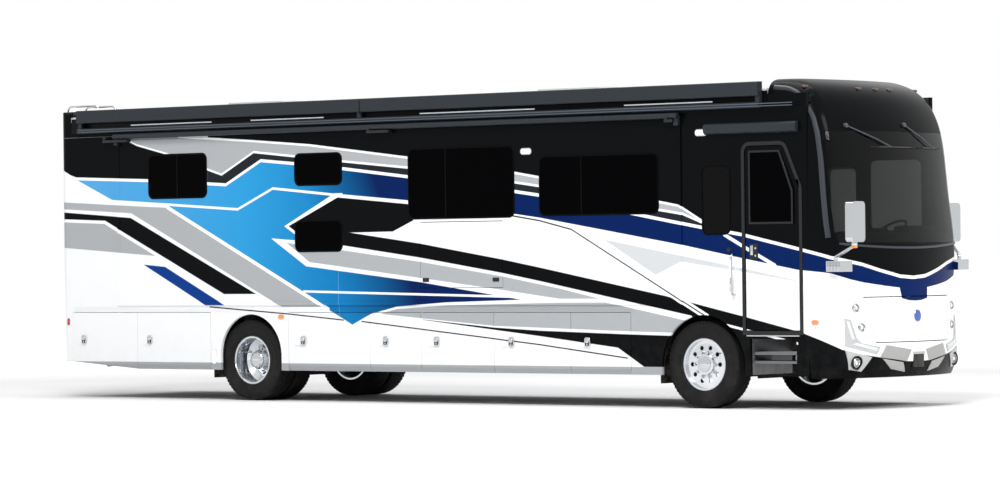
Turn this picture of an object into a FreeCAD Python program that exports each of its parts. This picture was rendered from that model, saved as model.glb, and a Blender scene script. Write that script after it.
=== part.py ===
"""Class A motorhome coach: a long diesel coach with a slide-out room on each side.

Frame: X forward, Y to the left, Z up, millimetres, ground at Z = 0. The entry door is on the right (-Y).
Places along the coach are measured ahead of or behind the front axle, heights from the ground.
Every driving size is a cell of the sheet Sizes; the pieces read their sizes from it by expressions.
"""
import FreeCAD
import Part
import Sketcher
import math
import os
import re

from FreeCAD import Placement, Rotation, Vector

SIZES = {
    # Whole coach
    "front_axle_x": 4023.5,
    "wheelbase": 7027,
    "front_overhang": 2130,
    "rear_overhang": 3300,
    "body_width": 2550,
    "skirt_bottom": 380,
    "wall_bottom": 1102,
    "wall_top": 3560,
    "wall_thickness": 45,
    "panel_gap": 6,
    "seat_gap": 0.3,
    "running_gap": 0.05,
    "cut_over": 200,
    # Floor, basement and frame
    "floor_bottom": 1155,
    "floor_thickness": 60,
    "tray_bottom": 440,
    "tray_thickness": 22,
    "bulkhead_thickness": 20,
    "rail_spread": 860,
    "rail_width": 76,
    "rail_bottom": 640,
    "rail_height": 230,
    "rail_flange": 9,
    "cross_member": 90,
    # Wheels and axles
    "tyre_radius": 503,
    "tyre_width": 280,
    "tyre_bead": 210,
    "rim_lip_radius": 299,
    "rim_seat_radius": 286,
    "rim_width": 238,
    "rim_wall": 9,
    "wheel_face": 1200,
    "dual_spacing": 320,
    "hub_radius": 118,
    "hand_hole_radius": 26,
    "hand_hole_circle": 196,
    "spindle_radius": 38,
    "kingpin_half_track": 905,
    "kingpin_radius": 26,
    "eye_radius": 52,
    "eye_height": 130,
    "ear_thickness": 34,
    "beam_width": 110,
    "beam_height": 105,
    "beam_drop": 110,
    "axle_tube_radius": 84,
    "differential_radius": 215,
    "differential_width": 340,
    # Front and rear wheel arches
    "front_arch_ahead": 40,
    "front_arch_radius": 590,
    "front_arch_height": 480,
    "rear_arch_ahead": 46,
    "rear_arch_radius": 515,
    "rear_arch_height": 562,
    "fender_back": 641,
    "fender_front": 683,
    # Baggage doors, counted from the rear
    "rear_cap_length": 220,
    "bay_one_width": 1155,
    "bay_three_width": 1337,
    "bay_four_width": 817,
    "bay_five_width": 1139,
    "bay_six_width": 1167,
    "bay_seven_width": 886,
    "bay_door_thickness": 32,
    "bay_door_rise": 85,
    "latch_height": 750,
    "latch_size": 110,
    "latch_inset": 170,
    "latch_depth": 14,
    "bay_depth_inset": 45.5,
    "pivot_inset": 8,
    "pivot_radius": 3,
    "pivot_bottom": 460,
    "lug_height": 10,
    "low_lug": 560,
    "high_lug": 960,
    "turn_under": 60,
    "turn_under_inset": 24,
    # Slide-out on the door side
    "slide_back": 9280,
    "slide_front": 244,
    "slide_bottom": 1190,
    "slide_top": 3300,
    "slide_flange": 46,
    "slide_flange_thickness": 18,
    "slide_wall": 40,
    "slide_depth": 760,
    "slide_gap": 14,
    # Slide-out on the other side
    "left_slide_back": 5050,
    # Windows of the slide-outs and walls
    "window_corner": 85,
    "glass_thickness": 8,
    "bedroom_window_back": 8718,
    "bedroom_window_front": 7689,
    "bedroom_window_sill": 2541,
    "bedroom_window_head": 3113,
    "upper_bath_window_sill": 2660,
    "upper_bath_window_head": 3065,
    "bath_window_back": 6206,
    "bath_window_front": 5418,
    "lower_bath_window_sill": 1842,
    "lower_bath_window_head": 2240,
    "lounge_window_back": 4362,
    "lounge_window_front": 2700,
    "lounge_window_sill": 2226,
    "lounge_window_head": 3080,
    "dinette_window_back": 2332,
    "dinette_window_front": 562,
    "dinette_window_sill": 2230,
    "dinette_window_head": 2940,
    "cab_window_back": 38,
    "cab_window_front": 450,
    "cab_window_sill": 1982,
    "cab_window_head": 2772,
    "driver_window_back": 640,
    "driver_window_front": 1370,
    "driver_window_sill": 2020,
    "driver_window_head": 2840,
    # Outside entertainment door
    "media_back": 4180,
    "media_front": 2890,
    "media_bottom": 1392,
    "media_top": 2190,
    "media_recess": 130,
    # Entry door
    "door_back": 600,
    "door_front": 1442,
    "door_sill": 842,
    "door_head": 3030,
    "door_slant_drop": 520,
    "door_slant_run": 230,
    "door_frame_width": 46,
    "door_frame_proud": 8,
    "door_corner": 120,
    "door_window_margin": 48,
    "door_window_sill": 2095,
    "door_pivot_inset": 10,
    "door_pivot_radius": 4,
    "door_lug_depth": 8,
    "door_lug_clear": 3,
    "door_relief_back": 40,
    "door_relief_front": 22,
    "door_relief_depth": 26,
    "door_relief_rise": 90,
    "door_swing_back": 52,
    "door_swing_depth": 10,
    # Entry step
    "step_back": 712,
    "step_front": 1330,
    "step_bottom": 520,
    "step_top": 650,
    "step_recess_bottom": 392,
    "step_recess_top": 798,
    "step_length": 330,
    "tread_thickness": 30,
    # Front cap
    "cap_seam": 1510,
    "cap_thickness": 28,
    "cap_corner": 350,
    "cap_bow": 4200,
    "cap_bottom": 356,
    "cap_top": 3735,
    "dome_back": 950,
    "screen_sill": 1872,
    "screen_head": 3130,
    "screen_half_width": 1205,
    "hood_top": 1266,
    "hood_bottom": 745,
    "hood_top_half": 860,
    "hood_bottom_half": 720,
    "bumper_top": 700,
    # Rear cap
    "tail_bottom": 466,
    "tail_top": 3700,
    "tail_corner": 120,
    "tail_lean_low": 85,
    "tail_lean_top": 45,
    "engine_door_bottom": 640,
    "engine_door_top": 1390,
    "engine_door_half": 640,
    # Roof and what stands on it
    "roof_rise": 40,
    "roof_edge": 60,
    "cooler_length": 1050,
    "cooler_width": 720,
    "cooler_height": 112,
    "cooler_front_back": 2600,
    "cooler_rear_back": 7700,
    "vent_size": 420,
    "vent_height": 90,
    "vent_back": 5200,
    # Awnings
    "awning_back": 9930,
    "awning_front": 905,
    "awning_bottom": 3540,
    "awning_top": 3704,
    "awning_reach": 92,
    "awning_tube_radius": 36,
    "awning_tube_height": 3440,
    "door_awning_back": 110,
    "door_awning_front": 1392,
    "door_awning_height": 3185,
    "door_awning_radius": 62,
    "topper_radius": 33,
    "topper_height": 3352,
    "topper_reach": 62,
    # Ladder and entry grab handle
    "ladder_tube": 12.5,
    "ladder_outer": 1070,
    "ladder_inner": 750,
    "ladder_stand_off": 45,
    "ladder_bottom": 1480,
    "ladder_hoop_rise": 62,
    "ladder_hoop_length": 560,
    "ladder_bend": 70,
    "rung_pitch": 300,
    "handle_ahead": 496,
    "handle_bottom": 1300,
    "handle_top": 1760,
    "handle_reach": 70,
    # Mirrors
    "mirror_base_ahead": 1870,
    "mirror_base_height": 1610,
    "mirror_base_reach": 60,
    "mirror_head_width": 250,
    "mirror_head_height": 450,
    "mirror_head_depth": 95,
    "mirror_head_bottom": 1878,
    "mirror_outer": 1600,
    "mirror_arm_radius": 22,
    "right_mirror_ahead": 2290,
    "left_mirror_ahead": 1620,
    # Engine and driveline
    "engine_length": 1150,
    "engine_width": 700,
    "engine_height": 990,
    "engine_bottom": 480,
    "engine_rear_gap": 260,
    "gearbox_length": 620,
    "gearbox_radius": 215,
    # Tank and mud flaps
    "tank_length": 820,
    "flap_thickness": 10,
    "steer_sweep": 598,
    "flap_bottom": 280,
    "flap_width": 560,
    # Cab
    "dash_depth": 520,
    "dash_foot_depth": 260,
    "dash_under": 1560,
    "dash_top": 1990,
    "seat_width": 560,
    "seat_depth": 540,
    "seat_height": 460,
    "seat_back_height": 760,
    "seat_back_thickness": 150,
    "seat_spread": 1240,
    "seat_ahead": 50,
    "steering_wheel_radius": 225,
    "steering_wheel_rim": 16,
    "steering_gap": 120,
    "steering_height": 780,
    "steering_column_length": 420,
    # Lamps
    "round_lamp_radius": 48,
    "round_lamp_half": 963,
    "fog_lamp_radius": 52,
    "fog_lamp_half": 985,
    "fog_lamp_height": 531,
    "tail_lamp_radius": 60,
    "tail_lamp_half": 1010,
    "upper_lamp_height": 1143,
    "lower_lamp_half": 905,
    "lower_lamp_height": 925,
    "lamp_from": 1780,
    "lamp_length": 600,
    "tail_lamp_height": 900,
    "tail_lamp_pitch": 170,
    "tail_edge": 60,
    "spring_reach": 430,
    "spring_radius": 95,
    "spring_beam_height": 80,
    "frame_rear_gap": 240,
    "frame_front_gap": 420,
    "engine_mount_height": 110,
    "engine_cover_gap": 40,
    "tank_back": 2600,
    "tank_drop": 60,
    "well_inner": 560,
    "stair_tread": 300,
    "stair_rise": 200,
    "stair_thickness": 20,
    "runner_height": 24,
    "hood_pivot_ahead": 2028,
    "hood_pivot_height": 1440,
    "hood_arm_offset": 125,
    "hood_arm_width": 20,
    "hood_arm_back": 250,
    "hood_arm_drop": 58,
    "hood_knee_back": 205,
    "hood_knee_drop": 165,
    "hood_arm_reach": 47,
    "hood_arm_low": 268,
    "hood_cheek_reach": 24,
    "tail_knee_share": 0.72,
    "side_pivot_reach": 30,
    "slide_face_proud": 12,
    "media_door_thickness": 30,
    "awning_arm": 60,
    "awning_split": 5130,
    "topper_end": 60,
    "mirror_base_length": 200,
    "screen_from": 1400,
    "dash_back": 1440,
    "hitch_outer": 64,
    "hitch_inner": 51,
    "hitch_height": 420,
    "hitch_rear_gap": 60,
    "hitch_length": 260,
    "hitch_pin_radius": 8.15,
    "hitch_pin_inset": 70,
}

REAR_AXLE = "(front_axle_x - wheelbase)"
NOSE = "(front_axle_x + front_overhang)"
TAIL = "(front_axle_x - wheelbase - rear_overhang)"
TAIL_SEAM = "(front_axle_x - wheelbase - rear_overhang + rear_cap_length)"
CAP_SEAM = "(front_axle_x + cap_seam)"
FLOOR_TOP = "(floor_bottom + floor_thickness)"
INNER = "(body_width / 2 - wall_thickness)"
RIGHT = -1
LEFT = 1
SIDES = {"right": RIGHT, "left": LEFT}

doc = FreeCAD.newDocument("Motorhome")
sheet = doc.addObject("Spreadsheet::Sheet", "Sizes")
for row, (name, size) in enumerate(SIZES.items(), start=1):
    sheet.set(f"A{row}", name)
    sheet.set(f"B{row}", str(size))
    sheet.setAlias(f"B{row}", name)
doc.recompute()

nodes = []
count = 0


def pointed(word):
    """Return a size name with the sheet's name before it, and any other word as it is."""
    return f"Sizes.{word.group(0)}" if word.group(0) in SIZES else word.group(0)


def bound(text):
    """Return an expression in which every size name points at the sheet."""
    return re.sub(r"[a-z][a-z_]*[a-z]", pointed, str(text))


def value(text):
    """Return what an expression in size names comes to."""
    return float(sheet.evalExpression(bound(text)))


def unique(name):
    """Return an object name that no other object has."""
    global count
    count += 1
    return f"{name}_{count}"


def bind(thing, **fields):
    """Bind the named fields of an object to expressions in size names."""
    for field, text in fields.items():
        thing.setExpression(field.replace("__", "."), bound(text))
    return thing


def place(thing, x=0, y=0, z=0):
    """Put an object's origin at a place given in size names."""
    return bind(thing, Placement__Base__x=x, Placement__Base__y=y, Placement__Base__z=z)


def box(name, x, y, z):
    """Make a box from three (low, high) pairs."""
    made = doc.addObject("Part::Box", unique(name))
    bind(made, Length=f"({x[1]}) - ({x[0]})", Width=f"({y[1]}) - ({y[0]})", Height=f"({z[1]}) - ({z[0]})")
    return place(made, x[0], y[0], z[0])


TURNS = {
    "X": Rotation(Vector(0, 1, 0), 90),
    "Y": Rotation(Vector(1, 0, 0), -90),
    "Z": Rotation(),
}


def rod(name, axis, radius, start, length, across):
    """Make a cylinder along an axis from its start; across gives its two other coordinates in order."""
    made = doc.addObject("Part::Cylinder", unique(name))
    made.Placement = Placement(Vector(), TURNS[axis])
    bind(made, Radius=radius, Height=length)
    spots = {"X": (start, *across), "Y": (across[0], start, across[1]), "Z": (*across, start)}
    return place(made, *spots[axis])


def fuse(name, pieces):
    """Join pieces that touch into one."""
    made = doc.addObject("Part::MultiFuse", unique(name))
    made.Shapes = pieces
    return made


def gather(name, pieces):
    """Hold separate pieces together in one object."""
    made = doc.addObject("Part::Compound", unique(name))
    made.Links = pieces
    return made


def cut(name, base, tools):
    """Cut tools out of a base."""
    made = doc.addObject("Part::Cut", unique(name))
    made.Base = base
    made.Tool = tools[0] if len(tools) == 1 else gather(f"{name}_tools", tools)
    return made


def common(name, first, second):
    """Keep what two pieces share."""
    made = doc.addObject("Part::Common", unique(name))
    made.Base = first
    made.Tool = second
    return made


def node(name, thing):
    """Name a finished piece, to be written to a file of its own."""
    thing.Label = name
    nodes.append(thing)
    return thing


PLANES = {"XY": "XY_Plane", "XZ": "XZ_Plane", "YZ": "YZ_Plane"}
NORMALS = {"XY": Vector(0, 0, 1), "XZ": Vector(0, -1, 0), "YZ": Vector(1, 0, 0)}


def sketch_on(body, plane, offset):
    """Attach a new sketch to one of a body's own planes, moved along its normal."""
    sketch = body.newObject("Sketcher::SketchObject", unique("sketch"))
    for feature in body.Origin.OriginFeatures:
        if feature.Role == PLANES[plane]:
            sketch.AttachmentSupport = [(feature, "")]
    sketch.MapMode = "FlatFace"
    sketch.setExpression("AttachmentOffset.Base.z", bound(offset))
    return sketch


def draw_outline(sketch, points):
    """Draw a closed outline whose every corner is tied to size names."""
    spots = [Vector(value(across), value(up), 0) for across, up in points]
    for here, there in zip(spots, spots[1:] + spots[:1]):
        sketch.addGeometry(Part.LineSegment(here, there), False)
    last = len(points) - 1
    for index in range(len(points)):
        before = index - 1 if index else last
        sketch.addConstraint(Sketcher.Constraint("Coincident", before, 2, index, 1))
    for index, (across, up) in enumerate(points):
        for kind, text, number in (("DistanceX", across, spots[index].x), ("DistanceY", up, spots[index].y)):
            which = sketch.addConstraint(Sketcher.Constraint(kind, -1, 1, index, 1, number))
            sketch.setExpression(f"Constraints[{which}]", bound(text))


def prism(name, plane, points, start, end, rounds=()):
    """Extrude an outline between two places along its plane's axis; rounds are (radius, corner indices)."""
    body = doc.addObject("PartDesign::Body", unique(name))
    forward = plane != "XZ"
    sketch = sketch_on(body, plane, start if forward else f"-({end})")
    draw_outline(sketch, points)
    pad = body.newObject("PartDesign::Pad", unique("pad"))
    pad.Profile = sketch
    pad.setExpression("Length", bound(f"({end}) - ({start})"))
    sketch.Visibility = False
    for radius, corners in rounds:
        base = body.Tip
        doc.recompute([sketch, pad, base], True)
        spots = [(value(points[index][0]), value(points[index][1])) for index in corners]
        edges = [f"Edge{which}" for which, edge in enumerate(base.Shape.Edges, start=1)
                 if lies_on(edge, plane, spots)]
        fillet = body.newObject("PartDesign::Fillet", unique("fillet"))
        fillet.Base = (base, edges)
        fillet.setExpression("Radius", bound(radius))
        body.Tip = fillet
    return body


def lies_on(edge, plane, spots):
    """Tell whether an edge runs along the plane's axis through one of the corner spots."""
    if not isinstance(edge.Curve, Part.Line):
        return False
    along = edge.tangentAt(edge.FirstParameter)
    if abs(abs(along.dot(NORMALS[plane])) - 1) > 1e-6:
        return False
    middle = edge.CenterOfMass
    flat = {"XY": (middle.x, middle.y), "XZ": (middle.x, middle.z), "YZ": (middle.y, middle.z)}[plane]
    return any(math.dist(flat, spot) < value("seat_gap") / 2 for spot in spots)


def panel(name, x, z, y, corner=None, inset="0"):
    """Make an upright plate in the XZ plane with four equal round corners."""
    low_x, high_x = f"({x[0]}) + {inset}", f"({x[1]}) - {inset}"
    low_z, high_z = f"({z[0]}) + {inset}", f"({z[1]}) - {inset}"
    points = [(low_x, low_z), (high_x, low_z), (high_x, high_z), (low_x, high_z)]
    rounds = [(f"{corner} - {inset}", (0, 1, 2, 3))] if corner else ()
    return prism(name, "XZ", points, y[0], y[1], rounds)


def turned(name, profile, axis="H_Axis"):
    """Revolve a half section, drawn across (y) and out (z), about the Y axis."""
    body = doc.addObject("PartDesign::Body", unique(name))
    sketch = sketch_on(body, "YZ", "0")
    draw_outline(sketch, profile)
    revolution = body.newObject("PartDesign::Revolution", unique("revolution"))
    revolution.Profile = sketch
    revolution.ReferenceAxis = (sketch, [axis])
    revolution.Angle = 360
    sketch.Visibility = False
    return body


def shaped(name, shape):
    """Hold a shape that is made by surface functions."""
    made = doc.addObject("Part::Feature", unique(name))
    made.Shape = shape
    return made


def pipe(name, points, radius, bend):
    """Sweep a round tube along straight runs joined by tangent arcs."""
    spots = [Vector(*(value(coordinate) for coordinate in point)) for point in points]
    edges = []
    start = spots[0]
    for before, corner, after in zip(spots, spots[1:], spots[2:]):
        back = (before - corner).normalize()
        ahead = (after - corner).normalize()
        half = back.getAngle(ahead) / 2
        reach = value(bend) / math.tan(half)
        first = corner + back * reach
        last = corner + ahead * reach
        middle = corner + (back + ahead).normalize() * (value(bend) / math.sin(half) - value(bend))
        edges.append(Part.LineSegment(start, first).toShape())
        edges.append(Part.Arc(first, middle, last).toShape())
        start = last
    edges.append(Part.LineSegment(start, spots[-1]).toShape())
    wire = Part.Wire(edges)
    ring = Part.Wire(Part.makeCircle(value(radius), spots[0], (spots[1] - spots[0]).normalize()))
    return shaped(name, wire.makePipeShell([ring], True, False))


def mirrored(low, high, side):
    """Return a (low, high) pair across the coach, on the given side, from distances off the middle."""
    return (f"({low})", f"({high})") if side == LEFT else (f"-({high})", f"-({low})")


# Running gear

WHEEL_CENTRE = "(wheel_face - rim_width / 2)"
BORE = "(spindle_radius + running_gap)"
LIP_STEP = "(rim_lip_radius - rim_seat_radius)"
RIM_INNER = "(rim_seat_radius - rim_wall)"
# Places across the wheel as shares of the rim's width, places out as shares of the lip's radius.
STEER_HUB_SHARES = [(0.567, 0.20), (0.496, 0.285), (0.47, 0.395), (0.37, 0.418), (0.353, 0.80)]
STEER_BACK_SHARE = 0.302
HUB_BACK_SHARE = 0.084
DUAL_HUB_SHARES = [(0.21, 0.235), (0.084, 0.318), (-0.504, 0.351), (-0.622, 0.468), (-0.622, 0.635)]
DUAL_DISH_SHARE = -0.336
DISC_HOLE_SHARE = 0.552


def build_tyre():
    """Turn one tyre about its own axle line."""
    half = "(tyre_width / 2)"
    bead = "(tyre_bead / 2)"
    inner = "(rim_seat_radius + seat_gap)"
    wall = "(tyre_radius - rim_seat_radius)"
    side = [(bead, 0.08), (half + " * 0.93", 0.22), (half, 0.52), (half + " * 0.97", 0.80)]
    right = [(f"({across})", f"{inner} + {wall} * {out}") for across, out in side]
    left = [(f"-({across})", out) for across, out in reversed(right)]
    tread = [(f"{half} * 0.80", "tyre_radius"), (f"-{half} * 0.80", "tyre_radius")]
    return turned("tyre", [(f"-{bead}", inner), (bead, inner), *right, *tread, *left])


def flange(outer, inner):
    """Return the points across a rim's barrel from one lip to the other, on its tyre side."""
    outer_step = f"({outer}) - {LIP_STEP}"
    inner_step = f"({inner}) + {LIP_STEP}"
    return [(outer, RIM_INNER), (outer, "rim_lip_radius"), (outer_step, "rim_lip_radius"),
            (outer_step, "rim_seat_radius"), (inner_step, "rim_seat_radius"),
            (inner_step, "rim_lip_radius"), (inner, "rim_lip_radius")]


def from_shares(pairs):
    """Return outline points from shares of the rim's width and of its lip's radius."""
    return [(f"rim_width * {across}", f"rim_lip_radius * {out}") for across, out in pairs]


def faced(side, profile):
    """Turn a wheel profile drawn for the left side to face the given side."""
    return [(f"{side} * ({across})", out) for across, out in profile]


def build_steer_rim(side):
    """Make a steered wheel's rim: disc near the outer lip, ten hand holes, hub with a blind bore."""
    back = f"rim_width * {STEER_BACK_SHARE}"
    hub_back = f"rim_width * {HUB_BACK_SHARE}"
    blind = "rim_width * 0.42"
    profile = [(f"rim_width * {STEER_HUB_SHARES[0][0]}", "0"), *from_shares(STEER_HUB_SHARES),
               (f"rim_width * {STEER_HUB_SHARES[-1][0]}", RIM_INNER),
               *flange("rim_width / 2", "-rim_width / 2"), ("-rim_width / 2", RIM_INNER),
               (back, RIM_INNER), (back, "hub_radius"), (hub_back, "hub_radius"),
               (hub_back, BORE), (blind, BORE), (blind, "0")]
    rim = turned("steer_rim", faced(side, profile))
    return cut("steer_rim_holed", rim, hand_holes("hand_hole_circle", "0"))


def hand_holes(circle, centre):
    """Make the ten round cutters for a wheel disc's hand holes."""
    low = f"{centre} - rim_width / 2"
    return [rod("hand_hole", "Y", "hand_hole_radius", low, "rim_width",
                (f"({circle}) * cos({angle})", f"({circle}) * sin({angle})"))
            for angle in range(0, 360, 36)]


def build_dual_rims(side):
    """Make a twin wheel's two rims, bolted disc to disc on one hub with a blind bore."""
    middle = "-dual_spacing / 2"
    inner_lip = "-dual_spacing - rim_width / 2"
    outer = [(f"rim_width * {DUAL_HUB_SHARES[0][0]}", "0"), *from_shares(DUAL_HUB_SHARES),
             (f"rim_width * {DUAL_DISH_SHARE}", RIM_INNER), *flange("rim_width / 2", "-rim_width / 2")]
    groove = [(middle, "rim_lip_radius * 0.655")]
    inner_flange = [(f"-dual_spacing - ({across})", out)
                    for across, out in reversed(flange("rim_width / 2", "-rim_width / 2"))]
    dish = [(f"-dual_spacing - rim_width * {across}", f"rim_lip_radius * {out}")
            for across, out in reversed(DUAL_HUB_SHARES[3:])]
    hub_back = f"{middle} - rim_width * 0.72"
    inner = [(f"-dual_spacing - rim_width * {DUAL_DISH_SHARE}", RIM_INNER), *dish,
             (f"{middle} - rim_width * 0.13", "rim_lip_radius * 0.351"), (hub_back, "rim_lip_radius * 0.351"),
             (hub_back, BORE), ("0", BORE), ("0", "0")]
    rims = turned("dual_rims", faced(side, outer + groove + inner_flange + inner))
    circle = f"rim_lip_radius * {DISC_HOLE_SHARE}"
    return cut("dual_rims_holed", rims, hand_holes(circle, f"{side} * ({middle})"))


def build_wheels():
    """Make the four steered-wheel pieces and the four twin-wheel pieces."""
    for word, side in SIDES.items():
        across = f"{side} * {WHEEL_CENTRE}"
        inner_across = f"{side} * ({WHEEL_CENTRE} - dual_spacing)"
        node(f"tyre_front_{word}", place(build_tyre(), "front_axle_x", across, "tyre_radius"))
        node(f"rim_front_{word}", place(build_steer_rim(side), "front_axle_x", across, "tyre_radius"))
        twins = [place(build_tyre(), REAR_AXLE, spot, "tyre_radius") for spot in (across, inner_across)]
        node(f"tyres_rear_{word}", gather("twin_tyres", twins))
        node(f"rims_rear_{word}", place(build_dual_rims(side), REAR_AXLE, across, "tyre_radius"))


def build_knuckle(side):
    """Make a steering knuckle: two ears on the kingpin, a back plate and the wheel spindle."""
    pin = f"{side} * kingpin_half_track"
    clear = "(eye_height / 2 + panel_gap)"
    plate_near = "(kingpin_half_track + eye_radius + panel_gap * 2)"
    plate_far = f"({plate_near} + ear_thickness)"
    ears = []
    for low in (f"tyre_radius + {clear}", f"tyre_radius - {clear} - ear_thickness"):
        ears.append(rod("ear", "Z", "eye_radius", low, "ear_thickness", ("front_axle_x", pin)))
        ears.append(box("ear_web", ("front_axle_x - eye_radius", "front_axle_x + eye_radius"),
                        mirrored("kingpin_half_track", plate_far, side), (low, f"{low} + ear_thickness")))
    reach = f"{clear} + ear_thickness"
    plate = box("plate", ("front_axle_x - eye_radius", "front_axle_x + eye_radius"),
                mirrored(plate_near, plate_far, side), (f"tyre_radius - ({reach})", f"tyre_radius + {reach}"))
    tip = f"({WHEEL_CENTRE} + rim_width * 0.41)"
    shaft = mirrored(plate_near, tip, side)
    spindle = rod("spindle", "Y", "spindle_radius", shaft[0], f"{tip} - {plate_near}",
                  ("front_axle_x", "tyre_radius"))
    seat = mirrored(plate_near, f"{WHEEL_CENTRE} - rim_width * 0.02", side)
    boss = rod("spindle_boss", "Y", "hub_radius * 0.7", seat[0],
               f"{WHEEL_CENTRE} - rim_width * 0.02 - {plate_near}", ("front_axle_x", "tyre_radius"))
    bore = rod("kingpin_bore", "Z", "kingpin_radius + running_gap", f"tyre_radius - ({reach}) - cut_over",
               f"2 * ({reach} + cut_over)", ("front_axle_x", pin))
    return cut("knuckle", fuse("knuckle_body", [*ears, plate, spindle, boss]), [bore])


def build_front_axle():
    """Make the dropped front axle beam with an eye and a kingpin at each end."""
    low = "tyre_radius - beam_drop"
    inner, outer = "kingpin_half_track * 0.68", "kingpin_half_track * 0.90"
    half = "beam_height / 2"
    under = [("-kingpin_half_track", f"tyre_radius - {half}"), (f"-{outer}", f"tyre_radius - {half}"),
             (f"-{inner}", f"{low} - {half}"), (inner, f"{low} - {half}"), (outer, f"tyre_radius - {half}"),
             ("kingpin_half_track", f"tyre_radius - {half}")]
    over = [(across, height.replace("- beam_height", "+ beam_height")) for across, height in reversed(under)]
    pieces = [prism("beam", "YZ", under + over, "front_axle_x - beam_width / 2",
                    "front_axle_x + beam_width / 2")]
    reach = "(eye_height / 2 + panel_gap + ear_thickness)"
    for side in SIDES.values():
        pin = f"{side} * kingpin_half_track"
        pieces.append(rod("eye", "Z", "eye_radius", "tyre_radius - eye_height / 2", "eye_height",
                          ("front_axle_x", pin)))
        pieces.append(rod("kingpin", "Z", "kingpin_radius", f"tyre_radius - {reach}", f"2 * {reach}",
                          ("front_axle_x", pin)))
    return fuse("front_axle", pieces)


def build_rear_axle():
    """Make the driven rear axle: tube, differential, spindles and the two beams under its air springs."""
    half_tube = f"({WHEEL_CENTRE} - dual_spacing / 2 - rim_width * 0.72 - panel_gap)"
    half_shaft = f"({WHEEL_CENTRE} - panel_gap)"
    centre = (REAR_AXLE, "tyre_radius")
    pieces = [
        rod("axle_tube", "Y", "axle_tube_radius", f"-{half_tube}", f"2 * {half_tube}", centre),
        rod("spindles", "Y", "spindle_radius", f"-{half_shaft}", f"2 * {half_shaft}", centre),
        rod("differential", "Y", "differential_radius", "-differential_width / 2", "differential_width",
            centre),
    ]
    for side in SIDES.values():
        pieces.append(box("spring_beam", (f"{REAR_AXLE} - spring_reach", f"{REAR_AXLE} + spring_reach"),
                          mirrored("rail_spread / 2 - rail_width / 2", "rail_spread / 2 + rail_width / 2",
                                   side),
                          ("tyre_radius - spring_beam_height / 2", "tyre_radius + spring_beam_height / 2")))
    return fuse("rear_axle", pieces)


def build_air_springs():
    """Make the air springs between the axles and the frame rails."""
    top = "rail_bottom - seat_gap"
    front_low = "tyre_radius - beam_drop + beam_height / 2 + seat_gap"
    rear_low = "tyre_radius + spring_beam_height / 2 + seat_gap"
    springs = []
    for side in SIDES.values():
        across = f"{side} * rail_spread / 2"
        springs.append(rod("air_spring", "Z", "spring_radius", front_low, f"{top} - ({front_low})",
                           ("front_axle_x", across)))
        for end in (-1, 1):
            along = f"{REAR_AXLE} + {end} * (spring_reach - spring_radius)"
            springs.append(rod("air_spring", "Z", "spring_radius", rear_low, f"{top} - ({rear_low})",
                               (along, across)))
    return gather("air_springs", springs)


def build_frame():
    """Make the ladder frame: two rails and the cross members between them."""
    span = (f"{TAIL} + frame_rear_gap", f"{NOSE} - frame_front_gap")
    tall = ("rail_bottom", "rail_bottom + rail_height")
    pieces = []
    for side in SIDES.values():
        inner, outer = "rail_spread / 2 - rail_width / 2", "rail_spread / 2 + rail_width / 2"
        rail = box("rail", span, mirrored(inner, outer, side), tall)
        hollow = box("rail_hollow", (f"{span[0]} - cut_over", f"{span[1]} + cut_over"),
                     mirrored(f"{inner} - cut_over", f"{outer} - rail_flange", side),
                     (f"{tall[0]} + rail_flange", f"{tall[1]} - rail_flange"))
        pieces.append(cut("channel", rail, [hollow]))
    inner = "(rail_spread / 2 + rail_width / 2 - rail_flange - seat_gap)"
    for share in CROSS_MEMBER_SHARES:
        along = f"{span[0]} + ({span[1]} - ({span[0]})) * {share}"
        pieces.append(box("cross_member", (f"{along} - cross_member / 2", f"{along} + cross_member / 2"),
                          (f"-{inner}", inner),
                          ("rail_bottom + rail_flange + seat_gap", "rail_bottom + cross_member")))
    half, bore = "hitch_outer / 2", "hitch_inner / 2"
    mouth, root = f"{TAIL} + hitch_rear_gap", f"{TAIL} + hitch_rear_gap + hitch_length"
    tall = (f"hitch_height - {half}", f"hitch_height + {half}")
    outer = "rail_spread / 2 + rail_width / 2"
    hitch = [box("receiver", (mouth, root), (f"-{half}", half), tall),
             box("hitch_beam", (root, f"{root} + hitch_outer"), (f"-({outer})", outer), tall)]
    for side in SIDES.values():
        hitch.append(box("hitch_hanger", (root, f"{root} + hitch_outer"),
                         mirrored("rail_spread / 2 - rail_width / 2", outer, side),
                         (tall[0], "rail_bottom - seat_gap")))
    socket = box("socket", (f"{mouth} - cut_over", root), (f"-{bore}", bore),
                 (f"hitch_height - {bore}", f"hitch_height + {bore}"))
    pin = rod("hitch_pin", "Y", "hitch_pin_radius", "-cut_over", "cut_over * 2",
              (f"{mouth} + hitch_pin_inset", "hitch_height"))
    return gather("chassis_frame", [*pieces, cut("hitch", fuse("hitch_whole", hitch), [socket, pin])])


CROSS_MEMBER_SHARES = (0.165, 0.22, 0.31, 0.42, 0.52, 0.615, 0.725, 0.80, 0.90, 0.985)


def build_engine():
    """Make the rear engine as one plain block with its gearbox ahead of it and its mounts on the rails."""
    back = f"({TAIL} + engine_rear_gap)"
    front = f"({back} + engine_length)"
    axis = "rail_bottom + engine_mount_height"
    block = box("engine", (back, front), ("-engine_width / 2", "engine_width / 2"),
                ("engine_bottom", "engine_bottom + engine_height"))
    gearbox = rod("gearbox", "X", "gearbox_radius", front, "gearbox_length", ("0", axis))
    reach = "(rail_spread / 2 + rail_width / 2 - rail_flange - seat_gap)"
    mounts = [box("engine_mount",
                  (f"{back} + engine_length * {share}", f"{back} + engine_length * {share} + cross_member"),
                  (f"-{reach}", reach),
                  ("rail_bottom + rail_flange + seat_gap", "rail_bottom + cross_member"))
              for share in (0.15, 0.75)]
    return fuse("engine_block", [block, gearbox, *mounts])


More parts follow.
